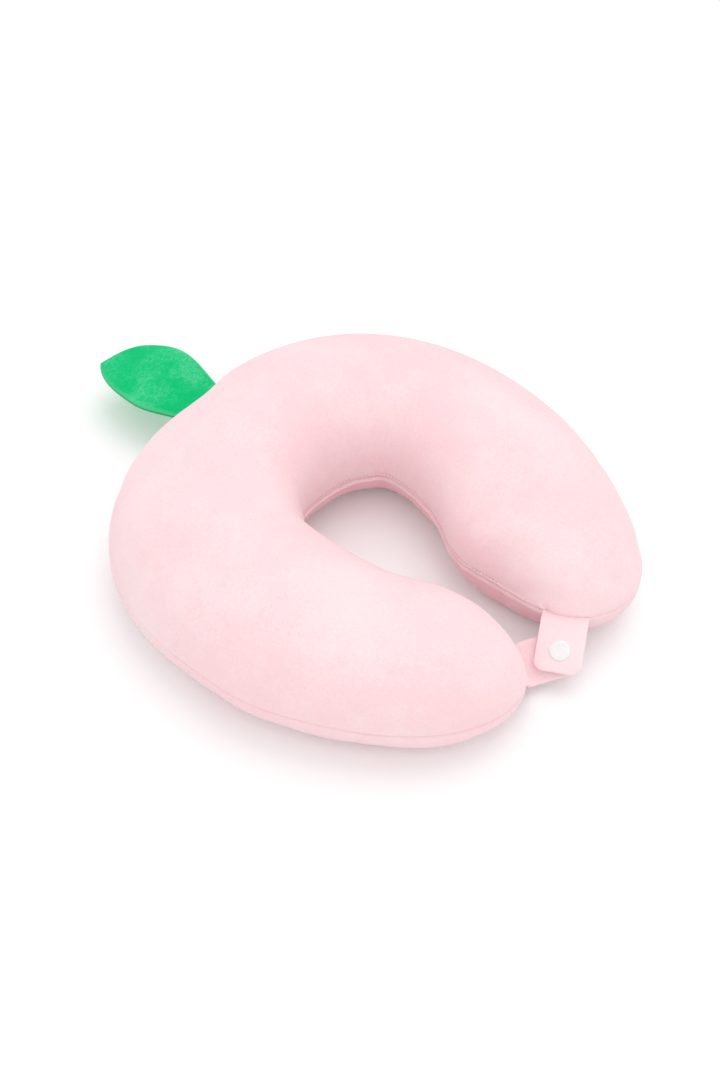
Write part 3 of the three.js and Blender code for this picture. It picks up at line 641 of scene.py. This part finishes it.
def simulated(bm, hold):
    """Where the fabric comes to rest, blown up a little, with some of its points held."""
    trial = in_scene("trial", mesh_of("trial", bm.copy()))
    pins = trial.vertex_groups.new(name="held")
    for index, weight in enumerate(hold):
        if weight > 0.01:
            pins.add([index], float(weight), "REPLACE")
    cloth = modifier(trial, "CLOTH")
    settings = cloth.settings
    settings.vertex_group_mass = "held"
    settings.quality = 5
    settings.mass = 0.3
    settings.tension_stiffness = settings.compression_stiffness = 12
    settings.shear_stiffness = 6
    settings.bending_stiffness = 0.4
    settings.air_damping = 4
    settings.use_pressure = True
    settings.uniform_pressure_force = 4
    settings.shrink_min = -COVER_GROWTH
    settings.effector_weights.gravity = 0
    cloth.point_cache.frame_start, cloth.point_cache.frame_end = 1, SETTLE_FRAMES
    for step in range(1, SETTLE_FRAMES + 1):
        bpy.context.scene.frame_set(step)
    settled = trial.evaluated_get(bpy.context.evaluated_depsgraph_get())
    places = np.array([vertex.co for vertex in settled.data.vertices])
    bpy.data.objects.remove(trial)
    bpy.context.scene.frame_set(1)
    return places


def settle_cover(bm):
    """The cover's looseness: small puckers and soft rolls where it is held along its seams. Only what
    is finer than the foam's own form is kept, because the foam holds the cover out."""
    start = places_of(bm)
    away = np.abs(start[:, 2] - SEAM_HEIGHT)
    hold = np.maximum(bell(away, HELD_ALONG_SEAM), start[:, 2] < 0.2 * MM)
    moved = simulated(bm, hold) - start
    moved -= smoothed(bm, moved, FORM_ROUNDS)
    size = np.linalg.norm(moved, axis=1, keepdims=True)
    moved *= SETTLE_CAP / np.maximum(size, SETTLE_CAP)
    moved[:, 2] = np.where(start[:, 2] < 3 * MM, 0, moved[:, 2])
    move_to(bm, start + moved * COVER_LOOSENESS)
    bm.normal_update()


def sew_seams(bm):
    """Draws the cover in along its seams, and lays back its bay for the zip."""
    places = places_of(bm)
    inner = np.cos(kept_layer(bm, "turn")) < 0
    upper = np.sin(kept_layer(bm, "turn")) >= -1e-6
    shape = seam_shape(places, inner, upper)
    bay = np.where(inner, 0, zip_bay(turn_of(places), places[:, 2]))
    shape = shape * (1 - bay) - BAY_DEPTH * bay
    normals = normals_of(bm)
    level = normals * np.array([1, 1, 0])
    level /= np.maximum(np.linalg.norm(level, axis=1, keepdims=True), 1e-9)
    near_seam = bell(places[:, 2] - SEAM_HEIGHT, 6 * MM)[:, None]
    direction = level * near_seam + normals * (1 - near_seam)
    move_to(bm, places + direction * shape[:, None])
    bm.normal_update()


LINER_IN = 2.2 * MM
LINER_THICKNESS = 0.5 * MM
FOAM_IN = 3.2 * MM
UPPER, LOWER = 0, 1


def half_of(bm, which):
    """A copy of the roll's mesh with only its upper or lower panel."""
    made = bm.copy()
    half = made.faces.layers.int["lower"]
    other = [face for face in made.faces if face[half] != which]
    bmesh.ops.delete(made, geom=other, context="FACES")
    return made


def cover_panel(whole, name, which, node):
    """The upper or lower velour panel of the cover."""
    made = piece(name, half_of(whole, which), "pillow", "velour", replaces=(node,))
    subdivide(made)
    modifier(made, "SOLIDIFY", thickness=COVER, offset=-1)


def lining(depth):
    """The roll's smooth form, some way inside its cover."""
    bm = roll_shell(*LINING_GRID)
    move_to(bm, places_of(bm) - normals_of(bm) * depth)
    return bm


def liner_panel(whole, name, which, node):
    """The upper or lower half of the liner about the foam."""
    made = piece(name, half_of(whole, which), "pillow", "liner", replaces=(node,))
    modifier(made, "SOLIDIFY", thickness=LINER_THICKNESS, offset=-1)


def make_filling():
    """The foam, in its liner."""
    foam_piece = piece("foam_filling", lining(FOAM_IN), "pillow", "foam", replaces=("foam_core",))
    whole = lining(LINER_IN)
    liner_panel(whole, "liner_upper", UPPER, "liner_top")
    liner_panel(whole, "liner_lower", LOWER, "liner_bottom")
    whole.free()


STITCH_STEP = 2.4 * MM
STITCH = (1.7 * MM, 0.5 * MM, 0.5 * MM)
STITCH_ROW = (0.012, 0.988)


def frame_at(origin, along, up=UP):
    """A place with X along a direction and Z as near to up as that allows."""
    x = Vector(along).normalized()
    y = Vector(up).cross(x).normalized()
    made = Matrix((x, y, x.cross(y))).transposed().to_4x4()
    made.translation = origin
    return made


def add_stitch(bm, place, along, out):
    """One stitch of thread, lying along the fabric."""
    size = Matrix.Diagonal((*(side / 2 for side in STITCH), 1))
    lying = frame_at(place, along, out) @ size
    bmesh.ops.create_uvsphere(bm, u_segments=6, v_segments=4, radius=1, matrix=lying)


def seam_stitches(whole):
    """The row of topstitches just above the inner seam."""
    tree = BVHTree.FromBMesh(whole)
    shares = np.linspace(*STITCH_ROW, 1500)
    full = surface_fullness(shares)
    turn = turn_at(np.interp(shares * LINE_LENGTH, LINE_LENGTHS, LINE_STEPS))
    height = STITCH_LINE / ((around(CROWN_HEIGHT, turn) - SEAM_HEIGHT) * full)
    around_turn = math.pi - np.arcsin(np.clip(height, 0, 1) ** (UPPER_INNER_FULLNESS / 2))
    path = surface(shares, around_turn)
    lengths = running_lengths(path)
    stations = np.arange(STITCH_STEP, lengths[-1] - STITCH_STEP, STITCH_STEP)
    points = along_path(stations, lengths, path)
    bm = bmesh.new()
    for before, point, after in zip(points, points[1:], points[2:]):
        place, normal, _, _ = tree.find_nearest(Vector(point))
        add_stitch(bm, place + normal * 0.05 * MM, Vector(after - before), normal)
    piece("inner_seam_stitches", bm, "pillow", "velour", material="thread")


def make_roll():
    """The cover with its seams, on its lined foam."""
    whole = roll_shell(*COVER_GRID)
    settle_cover(whole)
    sew_seams(whole)
    cover_panel(whole, "cover_upper", UPPER, "cover_top")
    cover_panel(whole, "cover_lower", LOWER, "cover_bottom")
    seam_stitches(whole)
    whole.free()
    make_filling()


# ---- The tabs ----

TAB_WIDTH = 27.5 * MM
TAB_THICKNESS = 2.1 * MM
TAB_PUFF = 0.5 * MM
TAB_PUFF_REACH = 6 * MM
TAB_CORNER = 6 * MM
TAB_EDGE = 1 * MM
TAB_END_STEPS = (0.5 * MM, 0.2 * MM, 0.05 * MM, 0)
TAB_SPACING = 0.75 * MM
TAB_SEWN_IN = 5 * MM
TAB_ROWS = 48
TAB_ROOT_STEPS = 6
RIGHT_BEND_STEPS = 10
LEFT_CURVE_STEPS = 30
LEFT_CURVE_OUT = 0.2
LEFT_CURVE_IN = 0.34
RIGHT_TAB_LENGTH = 30 * MM
RIGHT_TAB_SLOPE = math.radians(27)
RIGHT_TAB_BEND = 3.5 * MM
LEFT_TAB_LENGTH = 26.5 * MM
# Where the left tab's two edges leave the seam, as shares of the roll and turns about it.
LEFT_ROOT = ((0.01, 0.0), (0.0, math.pi))


def full_station(centre, across, up):
    """A station of a tab where it has its whole width and thickness."""
    return (centre, across, up, TAB_WIDTH / 2, TAB_THICKNESS / 2, 0)


def strip(stations):
    """A closed flat strip through stations of (centre, across, up, half width, half thickness, puff)."""
    bm = grid(len(stations) - 1, TAB_ROWS)
    flat = places_of(bm)
    index = np.rint(flat[:, 0] * (len(stations) - 1)).astype(int)
    ring = 2 * math.pi * flat[:, 1]
    places = []
    for i, cosine, sine in zip(index, np.cos(ring), np.sin(ring)):
        centre, across, up, half_width, half_thickness, puff = stations[i]
        wide = half_width - half_thickness
        x = wide * powered(cosine, 0.9) + half_thickness * cosine
        z = half_thickness * powered(sine, 0.28) + puff * sine
        places.append(centre + across * x + up * z)
    move_to(bm, places)
    merge(bm, 0.04 * MM)
    close_ends(bm)
    return bm


def corner_inset(left):
    """How far a tab's side is drawn in by its rounded corner, this far from its free end."""
    return TAB_CORNER - math.sqrt(max(0, TAB_CORNER**2 - (TAB_CORNER - min(left, TAB_CORNER)) ** 2))


def flap_stations(fold, along, up, length):
    """The flat part of a tab, from its fold to its free end with rounded corners."""
    steps = [k * TAB_SPACING for k in range(1, int(length / TAB_SPACING))]
    edge = [length - left for left in TAB_END_STEPS]
    made = []
    for distance in [d for d in steps if d < edge[0] - 0.2 * MM] + edge:
        left = length - distance
        thin = math.sqrt(max(0, 1 - (1 - min(left / TAB_EDGE, 1)) ** 2))
        half_thickness = max(0.02 * MM, TAB_THICKNESS / 2 * thin)
        half_width = TAB_WIDTH / 2 - corner_inset(left)
        puff = TAB_PUFF * min(1, left / TAB_PUFF_REACH) * min(1, distance / TAB_PUFF_REACH)
        made.append((fold + along * distance, up.cross(along), up, half_width, half_thickness, puff))
    return made


def right_tab_way(out):
    """The way that the right tab lies down from its fold, and the way out of its face."""
    along = out * math.cos(RIGHT_TAB_SLOPE) - UP * math.sin(RIGHT_TAB_SLOPE)
    return along, along.cross(UP.cross(along).normalized()).normalized()


def make_right_tab():
    """The strap that folds down from the right arm's seam. Gives the place of its fold."""
    fold = joint_place("right_tab_fold")
    axis = Vector(JOINTS["right_tab_fold"]["axis"]).normalized()
    out = UP.cross(axis).normalized()
    along, up = right_tab_way(out)
    across = UP.cross(out)
    start, stop = fold - out * RIGHT_TAB_BEND, fold + along * RIGHT_TAB_BEND
    stations = []
    for k in range(TAB_ROOT_STEPS):
        centre = start - out * TAB_SEWN_IN * (1 - k / TAB_ROOT_STEPS)
        stations.append(full_station(centre, across, UP))
    for t in np.linspace(0, 1, RIGHT_BEND_STEPS + 1).tolist():
        centre = start * (1 - t) ** 2 + fold * 2 * t * (1 - t) + stop * t**2
        direction = ((fold - start) * (1 - t) + (stop - fold) * t).normalized()
        stations.append(full_station(centre, across, direction.cross(across).normalized()))
    flap = flap_stations(fold, along, up, RIGHT_TAB_LENGTH)
    stations += [s for s in flap if (s[0] - fold).length > RIGHT_TAB_BEND + 0.3 * MM]
    made = piece(
        "right_tab_strap",
        strip(stations),
        "right_tab",
        "velour",
        replaces=("right_tab_root", "right_tab_face", "right_tab_lining"),
        blend=("pillow", "right_tab", fold - out * 2.5 * MM, fold + along * 3 * MM),
    )
    subdivide(made)
    return frame_at(fold, along)


def bezier(a, b, c, d, t):
    """A point on the curve from a to d, which leaves towards b and comes in from c."""
    return a * (1 - t) ** 3 + b * 3 * t * (1 - t) ** 2 + c * 3 * t**2 * (1 - t) + d * t**3


def make_left_tab():
    """The strap that leaves the left arm's seam, turning under the right one. Gives its fold's place."""
    fold = joint_place("left_tab_fold")
    across_tab = Vector(JOINTS["left_tab_fold"]["axis"]).normalized()
    right_out = UP.cross(Vector(JOINTS["right_tab_fold"]["axis"])).normalized()
    up = right_tab_way(right_out)[1]
    along = across_tab.cross(up).normalized()
    low, high = (Vector(surface(*np.array(place)[:, None])[0]) for place in LEFT_ROOT)
    level = (high - low).normalized()
    root_out = level.cross(UP)
    across = up.cross(along)
    stop = fold - along * 1.3 * MM
    edges = []
    for side, a in ((-1, low), (1, high)):
        d = stop + across * side * TAB_WIDTH / 2
        reach = (d - a).length
        b, c = a + root_out * reach * LEFT_CURVE_OUT, d - along * reach * LEFT_CURVE_IN
        edges.append((a, b, c, d))
    stations = []
    for k in range(TAB_ROOT_STEPS + 1):
        centre = (low + high) / 2 - root_out * TAB_SEWN_IN * (1 - k / (TAB_ROOT_STEPS + 1))
        stations.append((centre, level, UP, (high - low).length / 2, TAB_THICKNESS / 2, 0))
    for t in np.linspace(0, 1, LEFT_CURVE_STEPS + 1).tolist():
        a, b = (bezier(*edge, t) for edge in edges)
        near, far = max(0, t - 0.01), min(1, t + 0.01)
        direction = bezier(*edges[0], far) - bezier(*edges[0], near)
        direction += bezier(*edges[1], far) - bezier(*edges[1], near)
        sideways = (b - a).normalized()
        over = direction.cross(sideways).normalized()
        stations.append(((a + b) / 2, sideways, over, (b - a).length / 2, TAB_THICKNESS / 2, 0))
    stations += flap_stations(fold, along, up, LEFT_TAB_LENGTH)
    made = piece(
        "left_tab_strap",
        strip(stations),
        "left_tab",
        "velour",
        replaces=("left_tab_root", "left_tab_face", "left_tab_lining"),
        blend=("pillow", "left_tab", fold - along * 6 * MM, fold + along * 2 * MM),
    )
    subdivide(made)
    return frame_at(fold, along, up)


# ---- The snap ----

SNAP_REACH = 17 * MM
SNAP_OFF_TAB = 0.2 * MM
CAP_RADIUS = 6.2 * MM
CAP_HEIGHT = 1.3 * MM
CAP_RIM = 0.55 * MM
CAP_DISH = 0.12 * MM
CAP_SHOULDER = ((4.6 * MM, CAP_HEIGHT - 0.05 * MM), (4.1 * MM, CAP_HEIGHT))
CAP_DISH_RADII = (3.6 * MM, 3.0 * MM, 2.2 * MM, 1.2 * MM, 0.5 * MM)
POST_RADIUS = 1 * MM
POST_LENGTH = 3.1 * MM
PLATE_RADIUS = 5 * MM
PLATE_BORE = 1.3 * MM
SOCKET_BORE = 2.8 * MM
SOCKET_HEIGHT = 2 * MM
SOCKET_FLOOR = 0.7 * MM
STUD_RADIUS = 2.3 * MM
STUD_HEIGHT = 1.9 * MM
STUD_PLATE = 0.7 * MM


def spun(profile, steps=64):
    """A turned piece from points (radius, height) about Z."""
    bm = bmesh.new()
    verts = [bm.verts.new((radius, 0, height)) for radius, height in profile]
    edges = [bm.edges.new(pair) for pair in zip(verts, verts[1:])]
    bmesh.ops.spin(
        bm,
        geom=verts + edges,
        cent=(0, 0, 0),
        axis=(0, 0, 1),
        angle=2 * math.pi,
        steps=steps,
        use_merge=True,
    )
    merge(bm, 0.002 * MM)
    face_outwards(bm)
    return bm


def arc_points(centre, radius, start, stop, steps):
    """Points (radius, height) on a round, from one angle to another in degrees."""
    angles = [math.radians(start + (stop - start) * k / steps) for k in range(steps + 1)]
    return [(centre[0] + radius * math.cos(a), centre[1] + radius * math.sin(a)) for a in angles]


def cap_mesh():
    """A cap with a rolled rim and a slightly dished face, on its post."""
    profile = [(0, -POST_LENGTH), (POST_RADIUS, -POST_LENGTH), (POST_RADIUS, 0)]
    profile += [(CAP_RADIUS - 2 * CAP_RIM, 0)]
    profile += arc_points((CAP_RADIUS - CAP_RIM, CAP_RIM), CAP_RIM, -90, 60, 8)
    profile += CAP_SHOULDER
    for radius in CAP_DISH_RADII:
        fall = CAP_DISH * math.cos(radius / CAP_DISH_RADII[0] * math.pi / 2)
        profile += [(radius, CAP_HEIGHT - fall)]
    profile += [(0, CAP_HEIGHT - CAP_DISH)]
    return spun(profile)


def socket_mesh():
    """The ring that the stud snaps into, hanging under its tab."""
    edge = 0.25 * MM
    rim, lip = PLATE_RADIUS - edge, SOCKET_BORE + edge
    profile = [(PLATE_BORE, 0), (rim, 0)]
    profile += arc_points((rim, -edge), edge, 90, 0, 4)
    profile += arc_points((rim, -SOCKET_HEIGHT + edge), edge, 0, -90, 4)
    profile += arc_points((lip, -SOCKET_HEIGHT + edge), edge, -90, -180, 4)
    profile += [(SOCKET_BORE, -SOCKET_FLOOR), (PLATE_BORE, -SOCKET_FLOOR), (PLATE_BORE, 0)]
    return spun(profile)


def stud_mesh():
    """The hollow stud, on its round plate."""
    edge = 0.2 * MM
    rim = PLATE_RADIUS - edge
    profile = [(PLATE_BORE, 0)]
    profile += arc_points((rim, edge), edge, -90, 0, 4)
    profile += arc_points((rim, STUD_PLATE - edge), edge, 0, 90, 4)
    profile += arc_points((STUD_RADIUS + edge, STUD_PLATE + edge), edge, 270, 180, 4)
    profile += arc_points((STUD_RADIUS - edge, STUD_HEIGHT - edge), edge, 0, 90, 4)
    profile += [(PLATE_BORE, STUD_HEIGHT), (PLATE_BORE, 0)]
    return spun(profile)


def snap_piece(name, bm, place, body, node):
    """A part of the snap at a place, with the tab's face as its level."""
    bmesh.ops.transform(bm, matrix=place, verts=bm.verts)
    piece(name, bm, body, "snap_plastic", replaces=(node,))


def make_snap(right, left):
    """The cap and socket on the right tab, and the stud and its back cap on the left one."""
    lift = 1 * MM + SNAP_OFF_TAB
    face = Matrix.Translation((SNAP_REACH, 0, lift))
    back = Matrix.Translation((SNAP_REACH, 0, -lift))
    turned_over = Matrix.Rotation(math.pi, 4, "X")
    snap_piece("snap_cap_top", cap_mesh(), right @ face, "right_tab", "snap_cap")
    snap_piece("snap_socket_ring", socket_mesh(), right @ back, "right_tab", "snap_socket")
    snap_piece("snap_stud_ring", stud_mesh(), left @ face, "left_tab", "snap_stud")
    snap_piece("snap_cap_back", cap_mesh(), left @ back @ turned_over, "left_tab", "snap_back_cap")


# ---- The leaf ----

LEAF_LENGTH = 86 * MM
LEAF_ROOT_HALF = 18.3 * MM
LEAF_SWELL = 11 * MM
LEAF_SWEEP = 18 * MM
LEAF_CURL = 7 * MM
LEAF_EDGE = 2.6 * MM
LEAF_PLUMP = 8 * MM
LEAF_SEWN_IN = 14 * MM
LEAF_RIM = 1.6 * MM
LEAF_SEAM = 0.7 * MM
LEAF_SEAM_SPREAD = 0.05
LEAF_RIM_SHEEN_SPREAD = 0.07
LEAF_TIP_TAPER = 0.6
LEAF_GRID = (96, 128)


def leaf_half_width(a, b):
    """The leaf's half width at a share of its length. It is fullest towards its tip on one side (b < 0),
    and slimmer there on the other."""
    body = np.clip(a, 0, 1)
    full_side = LEAF_ROOT_HALF + LEAF_SWELL * smoothstep(body / 0.75)
    slim_side = LEAF_ROOT_HALF - 2 * MM + LEAF_SWELL * 1.2 * smoothstep((body + 0.1) / 0.55)
    return np.where(b < 0, full_side * (1 - body**24) ** 0.5, slim_side * (1 - body**3.7) ** 0.9)


def leaf_shell():
    """The leaf's two plush panels, sewn together round a sharp rim and stuffed a little."""
    bm = grid(*LEAF_GRID)
    flat = places_of(bm)
    root = LEAF_SEWN_IN / LEAF_LENGTH
    a = -root + (1 + root) * np.sin(flat[:, 0] * math.pi / 2)
    ring = 2 * math.pi * flat[:, 1]
    b, side = np.cos(ring), np.sign(np.round(np.sin(ring), 6))
    sewn = bell(np.sin(ring), LEAF_SEAM_SPREAD)
    # How near each point is to the rim, where the lighter tone is painted sheen.
    keep_layer(bm, "rim", bell(1 - np.abs(b), LEAF_RIM_SHEEN_SPREAD))
    # How near each point is to the seam, where the dark tone is painted shade.
    keep_layer(bm, "painted_seam_shade", sewn)
    half = np.maximum(leaf_half_width(a, b) - LEAF_SEAM * sewn, 0)
    inside = np.minimum(half * (1 - np.abs(b)), (1 - a) * LEAF_LENGTH * LEAF_TIP_TAPER)
    rounding = np.clip(inside / LEAF_RIM, 0, 1)
    rim = LEAF_EDGE / 2 * np.sqrt(rounding * (2 - rounding))
    body = np.clip(a, 0, 1)
    plump = (LEAF_PLUMP - LEAF_EDGE) / 2 * np.sqrt(np.maximum(0, (1 - b * b) * np.sin(math.pi * body)))
    curl = LEAF_CURL * np.sin(math.pi * body) ** 1.5 * (1 - b) / 2
    along, across = a * LEAF_LENGTH, b * half + body**2.5 * LEAF_SWEEP
    move_to(bm, np.stack([along, across, side * (plump + rim) + curl], -1))
    merge(bm, MERGE_GAP)
    bmesh.ops.dissolve_degenerate(bm, dist=MERGE_GAP, edges=bm.edges)
    close_ends(bm)
    return bm


def make_leaf():
    """The leaf, sewn into the outer seam at the back."""
    fold = joint_place("leaf_fold")
    out = UP.cross(Vector(JOINTS["leaf_fold"]["axis"])).normalized()
    bm = leaf_shell()
    bmesh.ops.transform(bm, matrix=frame_at(fold, out), verts=bm.verts)
    made = piece(
        "leaf_plush_panels",
        bm,
        "leaf",
        "leaf_plush",
        replaces=("leaf_root", "leaf_upper", "leaf_lower", "leaf_wadding"),
        blend=("pillow", "leaf", fold - out * 3 * MM, fold + out * 5 * MM),
    )
    subdivide(made)


# ---- The zip ----

ZIP_RADIUS = 131.24 * MM
ZIP_FROM, ZIP_TO = math.radians(2.22), math.radians(81.94)
TOOTH_STEP = 1.9 * MM
TOOTH = (1.25 * MM, 1.1 * MM, 1.9 * MM)
TOOTH_EDGE = 0.25 * MM
TEETH_IN = 0.75 * MM
TEETH_APART = 0.62 * MM
STOP = (2.6 * MM, 1.4 * MM, 3.2 * MM)
STOP_EDGE = 0.35 * MM
STOP_AWAY = 0.015
TAPE_THICKNESS = 0.6 * MM
TAPE_IN = 1.15 * MM
TAPE_FROM_MIDDLE = 1.2 * MM
TAPE_PAST_END = 0.018
TAPE_GRID = (150, 20)
TAPE_UNDER_COVER = 1.8 * MM
TAPE_CORD = 0.35 * MM
TAPE_CORD_AT = 2.3 * MM
TAPE_CORD_WIDTH = 0.7 * MM
TAPE_STITCHES_AWAY = 4.9 * MM
SLIDER_EDGE = 0.25 * MM
PULL_EDGE = 0.2 * MM


def zip_place(angle, set_in=0.0, height=0.0):
    """A place on the zip's arc with X along it, Y inwards and Z up."""
    out = Vector((math.cos(angle), math.sin(angle), 0))
    along = Vector((-out.y, out.x, 0))
    return frame_at(ZIP_CENTRE + out * (ZIP_RADIUS - set_in) + UP * height, along)


def zip_tape(name, side, node):
    """A woven tape, with a raised cord along the edge that holds the teeth."""
    low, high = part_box(node)
    near, far = TAPE_FROM_MIDDLE, high.z - low.z + TAPE_UNDER_COVER
    bm = grid(*TAPE_GRID)
    flat = places_of(bm)
    angle = ZIP_FROM - TAPE_PAST_END + flat[:, 0] * (ZIP_TO - ZIP_FROM + 2 * TAPE_PAST_END)
    ring = 2 * math.pi * flat[:, 1]
    level = (near + far) / 2 - (far - near) / 2 * np.cos(ring)
    cord = TAPE_CORD * bell(level - TAPE_CORD_AT, TAPE_CORD_WIDTH)
    thick = (TAPE_THICKNESS / 2 + cord) * powered(np.sin(ring), 0.4)
    reach = ZIP_RADIUS - TAPE_IN + thick
    places = np.stack([reach * np.cos(angle), reach * np.sin(angle), side * level], -1)
    move_to(bm, places + np.array(ZIP_CENTRE))
    merge(bm, 0.02 * MM)
    close_ends(bm)
    piece(name, bm, "pillow", "zip_tape", replaces=(node,))


def rounded_block(bm, place, size, edge):
    """A block with its edges bevelled, in a place's own directions."""
    made = bmesh.new()
    bmesh.ops.create_cube(made, size=1, matrix=Matrix.Diagonal((*size, 1)))
    bmesh.ops.bevel(
        made,
        geom=made.edges[:],
        offset=edge,
        segments=1,
        affect="EDGES",
        profile=0.5,
        material=-1,
        clamp_overlap=True,
    )
    bmesh.ops.transform(made, matrix=place, verts=made.verts)
    part = mesh_of("part", made)
    bm.from_mesh(part)
    bpy.data.meshes.remove(part)


def zip_teeth(name, side, node):
    """One side's row of teeth. The two rows are half a step apart and meet in the middle."""
    bm = bmesh.new()
    count = int((ZIP_TO - ZIP_FROM) * ZIP_RADIUS / TOOTH_STEP)
    span = (ZIP_TO - ZIP_FROM) / count
    for k in range(count):
        angle = ZIP_FROM + span * (k + (0.25 if side > 0 else 0.75))
        rounded_block(bm, zip_place(angle, TEETH_IN, side * TEETH_APART), TOOTH, TOOTH_EDGE)
    piece(name, bm, "pillow", "zip_plastic", replaces=(node,))


def zip_stop(name, angle, node):
    """The block at one end of the teeth."""
    bm = bmesh.new()
    rounded_block(bm, zip_place(angle, TEETH_IN), STOP, STOP_EDGE)
    piece(name, bm, "pillow", "zip_plastic", replaces=(node,))


def softened(name, node, body, edge):
    """A CAD piece with its edges rounded."""
    bm = bmesh.new()
    bm.from_mesh(frame["nodes"][node].data)
    merge(bm, 0.01 * MM)
    bmesh.ops.dissolve_limit(bm, angle_limit=math.radians(2), verts=bm.verts, edges=bm.edges)
    face_outwards(bm)
    made = piece(name, bm, body, "zip_plastic", replaces=(node,))
    modifier(
        made,
        "BEVEL",
        width=edge,
        segments=3,
        limit_method="ANGLE",
        angle_limit=math.radians(35),
        harden_normals=False,
    )
    for polygon in made.data.polygons:
        polygon.use_smooth = False


def tape_stitches():
    """Where the cover's folded edges are sewn to the zip's tapes: a row of stitches on each side."""
    bm = bmesh.new()
    count = int((ZIP_TO - ZIP_FROM) * ZIP_RADIUS / STITCH_STEP)
    for side in (-1, 1):
        for k in range(count):
            angle = ZIP_FROM + (ZIP_TO - ZIP_FROM) * (k + 0.5) / count
            place = zip_place(angle, TAPE_IN - TAPE_THICKNESS / 2, side * TAPE_STITCHES_AWAY)
            out = Vector((math.cos(angle), math.sin(angle), 0))
            add_stitch(bm, place.translation, place.col[0].xyz, out)
    piece("zip_tape_stitches", bm, "pillow", "zip_tape", material="thread")


def make_zip():
    """The zip round the back of the cover, with its slider and pull."""
    zip_tape("zip_tape_top", 1, "zip_tape_upper")
    zip_tape("zip_tape_bottom", -1, "zip_tape_lower")
    zip_teeth("zip_teeth_top", 1, "zip_teeth_upper")
    zip_teeth("zip_teeth_bottom", -1, "zip_teeth_lower")
    zip_stop("zip_stop_closed", ZIP_TO + STOP_AWAY, "zip_top_stop")
    zip_stop("zip_stop_open", ZIP_FROM - STOP_AWAY, "zip_bottom_stop")
    softened("zip_slider_body", "zip_slider", "zip_slider", SLIDER_EDGE)
    softened("zip_pull_tab", "zip_pull", "zip_pull", PULL_EDGE)
    tape_stitches()


# ---- Camera, light and floor ----

CAMERA_TURN = math.radians(-46.013)
CAMERA_RISE = math.radians(43.567)
CAMERA_DISTANCE = 1065.8 * MM
LENS = 58.94
SENSOR_WIDTH = 36
VIEW_SHIFT = (-0.0004, -0.02935)
AIM = NECK + Vector((0, -5.968 * MM, 40 * MM))
FLOOR_TONE = (0.9, 0.9, 0.9, 1)
FLOOR_LIFT = 0.1
FLOOR_REACH = 4
WORLD_LIGHT = 0.81
# Each lamp's way, how broad it is, and its strength.
OVERHEAD = ((0.45, 0.12, 1.0), math.radians(50), 0.7)
FILL = ((-0.52, -0.5, 0.69), math.radians(70), 0.4)


def make_camera():
    """A camera that looks down on the pillow over the left arm's tip."""
    back = Vector(
        (
            math.sin(CAMERA_TURN) * math.cos(CAMERA_RISE),
            -math.cos(CAMERA_TURN) * math.cos(CAMERA_RISE),
            math.sin(CAMERA_RISE),
        )
    )
    data = bpy.data.cameras.new("camera")
    data.lens = LENS
    data.sensor_width = SENSOR_WIDTH
    data.sensor_fit = "AUTO"
    data.shift_x, data.shift_y = VIEW_SHIFT
    made = in_scene("camera", data)
    made.location = AIM + back * CAMERA_DISTANCE
    made.rotation_euler = back.to_track_quat("Z", "Y").to_euler()
    bpy.context.scene.camera = made


def soft_sun(name, way, softness, strength):
    """A broad even light that comes from one side of the sky."""
    data = bpy.data.lights.new(name, "SUN")
    data.angle = softness
    data.energy = strength
    made = in_scene(name, data)
    made.rotation_euler = Vector(way).to_track_quat("Z", "Y").to_euler()


def make_floor():
    """A plain pale floor, seen a little lighter than it is and still taking the shadow."""
    bm = bmesh.new()
    bmesh.ops.create_grid(bm, x_segments=8, y_segments=8, size=FLOOR_REACH)
    floor = in_scene("floor", mesh_of("floor", bm))
    paint = Paint("floor", base_color=FLOOR_TONE, roughness=1.0, specular_ior_level=0.0)
    lift = paint.node("ShaderNodeEmission", Color=(1, 1, 1, 1), Strength=paint.seen() * FLOOR_LIFT)
    both = paint.node("ShaderNodeAddShader", None, {0: paint.shader.outputs[0], 1: lift.outputs[0]})
    paint.feed(paint.tree.nodes["Material Output"].inputs["Surface"], both.outputs[0])
    floor.data.materials.append(paint.material)


def make_world():
    """A plain light from all round, seen as white."""
    world = bpy.data.worlds.new("studio")
    bpy.context.scene.world = world
    world.use_nodes = True
    sky = Nodes(world.node_tree)
    background = world.node_tree.nodes["Background"]
    sky.feed(background.inputs["Color"], (1, 1, 1, 1))
    sky.feed(background.inputs["Strength"], sky.seen() * (1 - WORLD_LIGHT) + WORLD_LIGHT)


def make_studio():
    """The camera, the floor and the light."""
    make_camera()
    make_floor()
    make_world()
    soft_sun("overhead", *OVERHEAD)
    soft_sun("fill", *FILL)


make_studio()
make_roll()
make_snap(make_right_tab(), make_left_tab())
make_leaf()
make_zip()

# The CAD pieces are all stood for, but they take their slots' materials too.
for node_name, node in frame["nodes"].items():
    slot = next(s["material_slot"] for s in frame["record"]["subparts"] if s["node"] == node_name)
    node.data.materials.clear()
    node.data.materials.append(MATERIALS[slot])

scene = bpy.context.scene
scene.view_settings.view_transform = "Standard"
